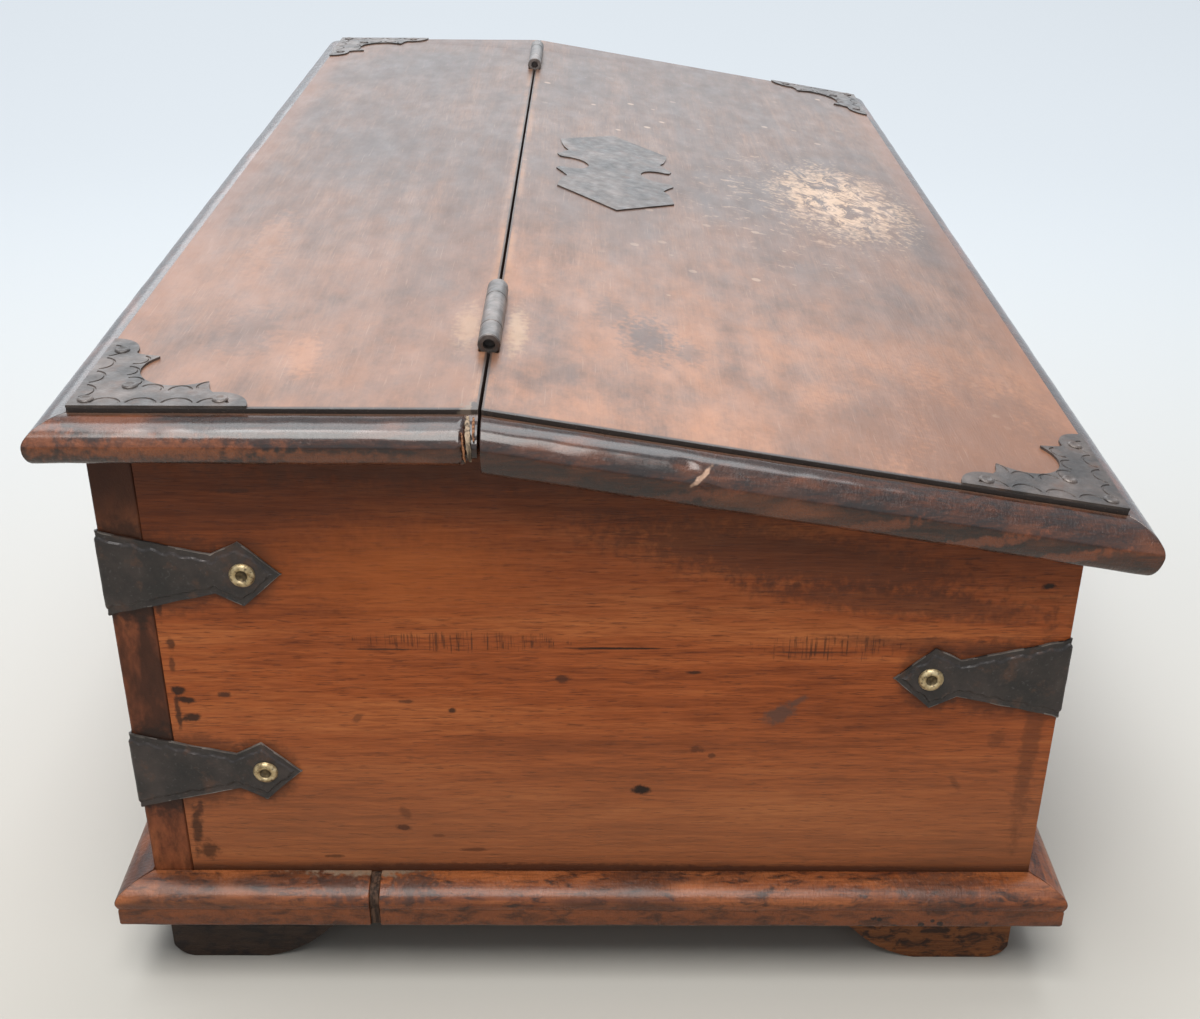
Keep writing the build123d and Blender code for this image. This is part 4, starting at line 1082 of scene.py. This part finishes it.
def chase(me, c, r, a0, a1, z):
    """Cuts one chased line, a bent round groove, into a plate."""
    n, sides, wire = 14, 6, 0.5
    verts = []
    for i in range(n + 1):
        a = math.radians(a0 + (a1 - a0) * i / n)
        for j in range(sides):
            b = 2 * math.pi * j / sides
            rr = r + wire * math.cos(b)
            verts.append((c[0] + rr * math.cos(a), c[1] + rr * math.sin(a), z + wire * math.sin(b)))
    bar = solid("chasing", verts, loft(n + 1, sides))
    plate = link("plate_tmp", me)
    subtract(plate, link("chasing", bar))
    me = plate.data
    bpy.data.objects.remove(plate)
    return me


def corner_outline():
    lobe = 10.0
    half = [(plate_leg, 0)] + arc((plate_leg - lobe, 0), lobe, lobe, 12, 100, 9)
    half += [(39.0, 11.6), (38.4, 13.4), (38.0, 15.6), (37.4, 17.9)]
    bite = arc((28.0, 28.0), 13.4, 13.4, -50, -220, 20)
    return [(0, 0)] + half + bite + [(v, u) for u, v in reversed(half)]


def corner_mesh():
    me = slab("corner_plate", corner_outline(), plate_t)
    arcs = []
    for i in range(4):
        at = 10.6 + 10.4 * i
        arcs.append(((at, 0.9), 4.5, 14, 166))
        arcs.append(((0.9, at), 4.5, -76, 76))
    for a in (-68, -98, -128, -158, -188, -216):
        c = (28 + 17.2 * math.cos(math.radians(a)), 28 + 17.2 * math.sin(math.radians(a)))
        arcs.append((c, 3.3, a + 96, a + 264))
    for c, r, a0, a1 in arcs:
        me = chase(me, c, r, a0, a1, plate_t + 0.12)
    return me


def centre_outline():
    quarter = [
        (61.5, 0), (50.0, 13.0), (39.0, 25.5), (33.0, 25.0), (26.0, 23.6), (21.5, 21.5), (17.0, 23.6),
        (12.0, 26.5), (9.0, 25.4),
    ]
    bite = arc((0, 20.9), 8.9, 8.9, 16, -196, 18)
    up = quarter + bite + [(-u, v) for u, v in reversed(quarter)]
    return up + [(-u, -v) for u, v in up][1:-1]


def place_plate(name, node, body, shape, to_world):
    bm = bmesh.new()
    bm.from_mesh(shape)
    for v in bm.verts:
        v.co = to_world(*v.co) * MM
    bmesh.ops.recalc_face_normals(bm, faces=bm.faces)
    me = bpy.data.meshes.new(name)
    bm.to_mesh(me)
    bm.free()
    me.materials.append(m_plate)
    ob = link(name, me)
    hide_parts(node)
    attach(ob, body)


def top_corner(es):
    return lambda u, v, h: Vector((es * (half_b - u), back_y + overhang - v, top_z + h))


def lid_corner(es):
    return lambda u, v, h: lid_pt(es * (half_b - u), lid_len - v, h)


corner_me = corner_mesh()
for place, body, corner in (("top", "carcase", top_corner), ("lid", "lid", lid_corner)):
    for es, tag in ((-1, "left"), (1, "right")):
        place_plate("plate_%s_%s" % (place, tag), "%s_plate_%s" % (place, tag), body, corner_me, corner(es))
place_plate("plate_centre", "centre_plate", "lid", slab("centre_plate_shape", centre_outline(), 0.6),
            lambda u, v, h: lid_pt(6.6 + u, 43.0 - v, h))

tack_profile = [
    (0, -7.0), (0.95, -7.0), (0.95, -0.02), (2.3, -0.02), (2.4, 0.1), (2.2, 0.42), (1.7, 0.6), (1.3, 0.5),
    (0.9, 0.38), (0, 0.3),
]
tack_spots = ((4.2, 4.6), (42.0, 5.0), (4.6, 43.5), (14.3, 14.8))
for place, corner, body, up in (("top", top_corner, "carcase", Z), ("lid", lid_corner, "lid", lid_up)):
    verts, faces = [], []
    for es in (-1, 1):
        for u, v in tack_spots:
            lathe(tack_profile, corner(es)(u, v, plate_t), up, 24, verts, faces)
    make("tacks_" + place, verts, faces, m_plate, body, ["nails_%s_plates" % place], 50)


# Hinges: rolled knuckles with hollow ends, leaves let into the boards
def tube(x0, x1, bore, verts, faces):
    rim = 0.35
    run = x1 - x0
    prof = [(bore, 0.0), (barrel_r - rim, 0.0), (barrel_r, rim), (barrel_r, run - rim),
            (barrel_r - rim, run), (bore, run), (bore, 0.0)]
    lathe(prof, Vector((x0, seam_y, axis_z)), X, 40, verts, faces)


def leaf(x0, x1, side, z0, z1, verts, faces):
    n = len(verts)
    ys = sorted((seam_y + side * leaf_from_seam, seam_y + side * (leaf_from_seam + leaf_t)))
    verts += [Vector((x, y, z)) for x in (x0, x1) for y in ys for z in (z0, z1)]
    for f in ((0, 1, 3, 2), (4, 6, 7, 5), (0, 4, 5, 1), (2, 3, 7, 6), (0, 2, 6, 4), (1, 5, 7, 3)):
        faces.append(tuple(n + i for i in f))


leaf_low, leaf_top, in_barrel = top_z - leaf_depth, axis_z - barrel_r - 0.3, axis_z - barrel_r + 0.8
half = barrel_len / 2
middle = half - outer_knuckle - knuckle_gap
for hx, tag in zip(hinge_x, ("left", "right")):
    outer = [(-half, outer_knuckle - half), (half - outer_knuckle, half)]
    for kind, body, side, bore, knuckles in (
        ("fixed", "carcase", 1, pin_r, outer),
        ("lid", "lid", -1, pin_r + 0.05, [(-middle, middle)]),
    ):
        verts, faces = [], []
        for a, b in knuckles:
            tube(hx + a, hx + b, bore, verts, faces)
            leaf(hx + a, hx + b, side, leaf_top, in_barrel, verts, faces)
        leaf(hx - half, hx + half, side, leaf_low, leaf_top, verts, faces)
        nodes = ["hinge_%s_%s_leaf" % (tag, kind)]
        make("knuckles_%s_%s" % (kind, tag), verts, faces, m_barrel, body, nodes, smooth_below)


# CAD nodes that stay as they are
def paint(node, mat, bevel=0.0):
    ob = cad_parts[node]
    ob.data.materials.clear()
    ob.data.materials.append(mat)
    if bevel:
        ease(ob, bevel)


for end, mat in (("back", m_foot_dark), ("front", m_foot_brown)):
    for hand in ("left", "right"):
        for half_name in ("end", "side"):
            paint("foot_%s_%s_%s" % (end, hand, half_name), mat, 0.8)
paint("bottom_board", m_inner)
paint("seam_rail", m_inner)
paint("pen_divider", m_inner_y)
paint("hinge_left_pin", m_barrel)
paint("hinge_right_pin", m_barrel)

# Stage: plain pale floor, painted paler towards its far side, with a painted glow there that the camera and
# reflections see
s = Shade("stage_floor")
x = s.axis(0)
far = s.span(x, -0.45, 0.7, 0.0, 1.0, True)
s.done(s.mix(far, (0.47, 0.45, 0.41), (0.62, 0.66, 0.69)), 0.75, Specular_IOR_Level=0.2)
painted_glow = s.node("ShaderNodeEmission")
s.put(painted_glow.inputs[0], s.mix(far, (0.70, 0.69, 0.66), (0.77, 0.83, 0.89)))
paths = s.node("ShaderNodeLightPath")
seen = s.calc("MAXIMUM", paths.outputs["Is Camera Ray"], paths.outputs["Is Glossy Ray"])
seen = s.calc("MAXIMUM", seen, paths.outputs["Is Transmission Ray"])
blend = s.node("ShaderNodeMixShader")
s.put(blend.inputs[0], s.mul(seen, s.span(x, 0.1, 1.0, 0.0, 0.75, True)))
s.t.links.new(s.b.outputs[0], blend.inputs[1])
s.t.links.new(painted_glow.outputs[0], blend.inputs[2])
s.t.links.new(blend.outputs[0], s.out.inputs[0])
floor_me = bpy.data.meshes.new("floor")
floor_me.from_pydata([(-4, -6, 0), (9, -6, 0), (9, 6, 0), (-4, 6, 0)], [], [(0, 1, 2, 3)])
floor_me.materials.append(s.m)
link("floor", floor_me)

# World: a plain level on the object, paler where the camera, gloss or glass sees it
world = bpy.data.worlds.new("room")
bpy.context.scene.world = world
world.use_nodes = True
nodes, links = world.node_tree.nodes, world.node_tree.links
plain = nodes["Background"]
plain.inputs[0].default_value = (0.80, 0.86, 0.92, 1)
plain.inputs[1].default_value = 0.24
bright = nodes.new("ShaderNodeBackground")
bright.inputs[0].default_value = (0.74, 0.80, 0.86, 1)
bright.inputs[1].default_value = 1.0
paths = nodes.new("ShaderNodeLightPath")
chosen = nodes.new("ShaderNodeMixShader")
either, any_ray = nodes.new("ShaderNodeMath"), nodes.new("ShaderNodeMath")
either.operation = any_ray.operation = "MAXIMUM"
links.new(paths.outputs["Is Camera Ray"], either.inputs[0])
links.new(paths.outputs["Is Glossy Ray"], either.inputs[1])
links.new(either.outputs[0], any_ray.inputs[0])
links.new(paths.outputs["Is Transmission Ray"], any_ray.inputs[1])
links.new(any_ray.outputs[0], chosen.inputs[0])
links.new(plain.outputs[0], chosen.inputs[1])
links.new(bright.outputs[0], chosen.inputs[2])
links.new(chosen.outputs[0], nodes["World Output"].inputs[0])

# Soft studio lamps: place, aim, width, height, watts and colour
for name, place, aim, size_x, size_y, power, colour in (
    ("far_window", (2.2, 0.3, 1.35), (0.0, 0.0, 0.15), 2.8, 1.6, 24, (0.94, 0.97, 1.0)),
    ("key", (-0.87, 0.15, 1.85), (-0.20, 0.0, 0.15), 1.1, 1.1, 35, (1.0, 0.98, 0.95)),
    ("over", (0.10, 0.1, 1.75), (-0.1, 0.0, 0.15), 1.7, 0.8, 22, (0.96, 0.98, 1.0)),
    ("fill", (-2.2, 0.0, 1.3), (-0.2, 0.0, 0.1), 3.0, 2.2, 6.5, (1.0, 0.97, 0.93)),
):
    data = bpy.data.lights.new(name, "AREA")
    data.shape = "RECTANGLE"
    data.size, data.size_y = size_x, size_y
    data.energy = power
    data.color = colour
    lamp = link(name, data)
    lamp.location = place
    lamp.rotation_euler = (Vector(aim) - Vector(place)).to_track_quat("-Z", "Y").to_euler()

# Camera at the photograph's viewing angle, its focal length in the photograph's pixels
pitch, yaw, roll = 0.48839, -0.00725, 0.00738
focal_px = 1514.34
photo_width = 1200
sensor = 36.0
camera_x, camera_y, camera_z = -0.67093, 0.00111 + cy * MM, 0.35304 + base_top * MM
level = Vector((math.cos(yaw), math.sin(yaw), 0))
aside = Vector((math.sin(yaw), -math.cos(yaw), 0))
forward = level * math.cos(pitch) - Z * math.sin(pitch)
upward = Z * math.cos(pitch) + level * math.sin(pitch)
cam_x = aside * math.cos(roll) + upward * math.sin(roll)
cam_y = -aside * math.sin(roll) + upward * math.cos(roll)
cam_data = bpy.data.cameras.new("camera")
cam = link("camera", cam_data)
cam.matrix_world = Matrix((
    (cam_x.x, cam_y.x, -forward.x, camera_x),
    (cam_x.y, cam_y.y, -forward.y, camera_y),
    (cam_x.z, cam_y.z, -forward.z, camera_z),
    (0, 0, 0, 1),
))
cam_data.sensor_width = sensor
cam_data.lens = sensor * focal_px / photo_width
cam_data.clip_start = 0.01
cam_data.clip_end = 50
bpy.context.scene.camera = cam
bpy.context.scene.view_settings.view_transform = "Standard"

bpy.context.view_layer.update()
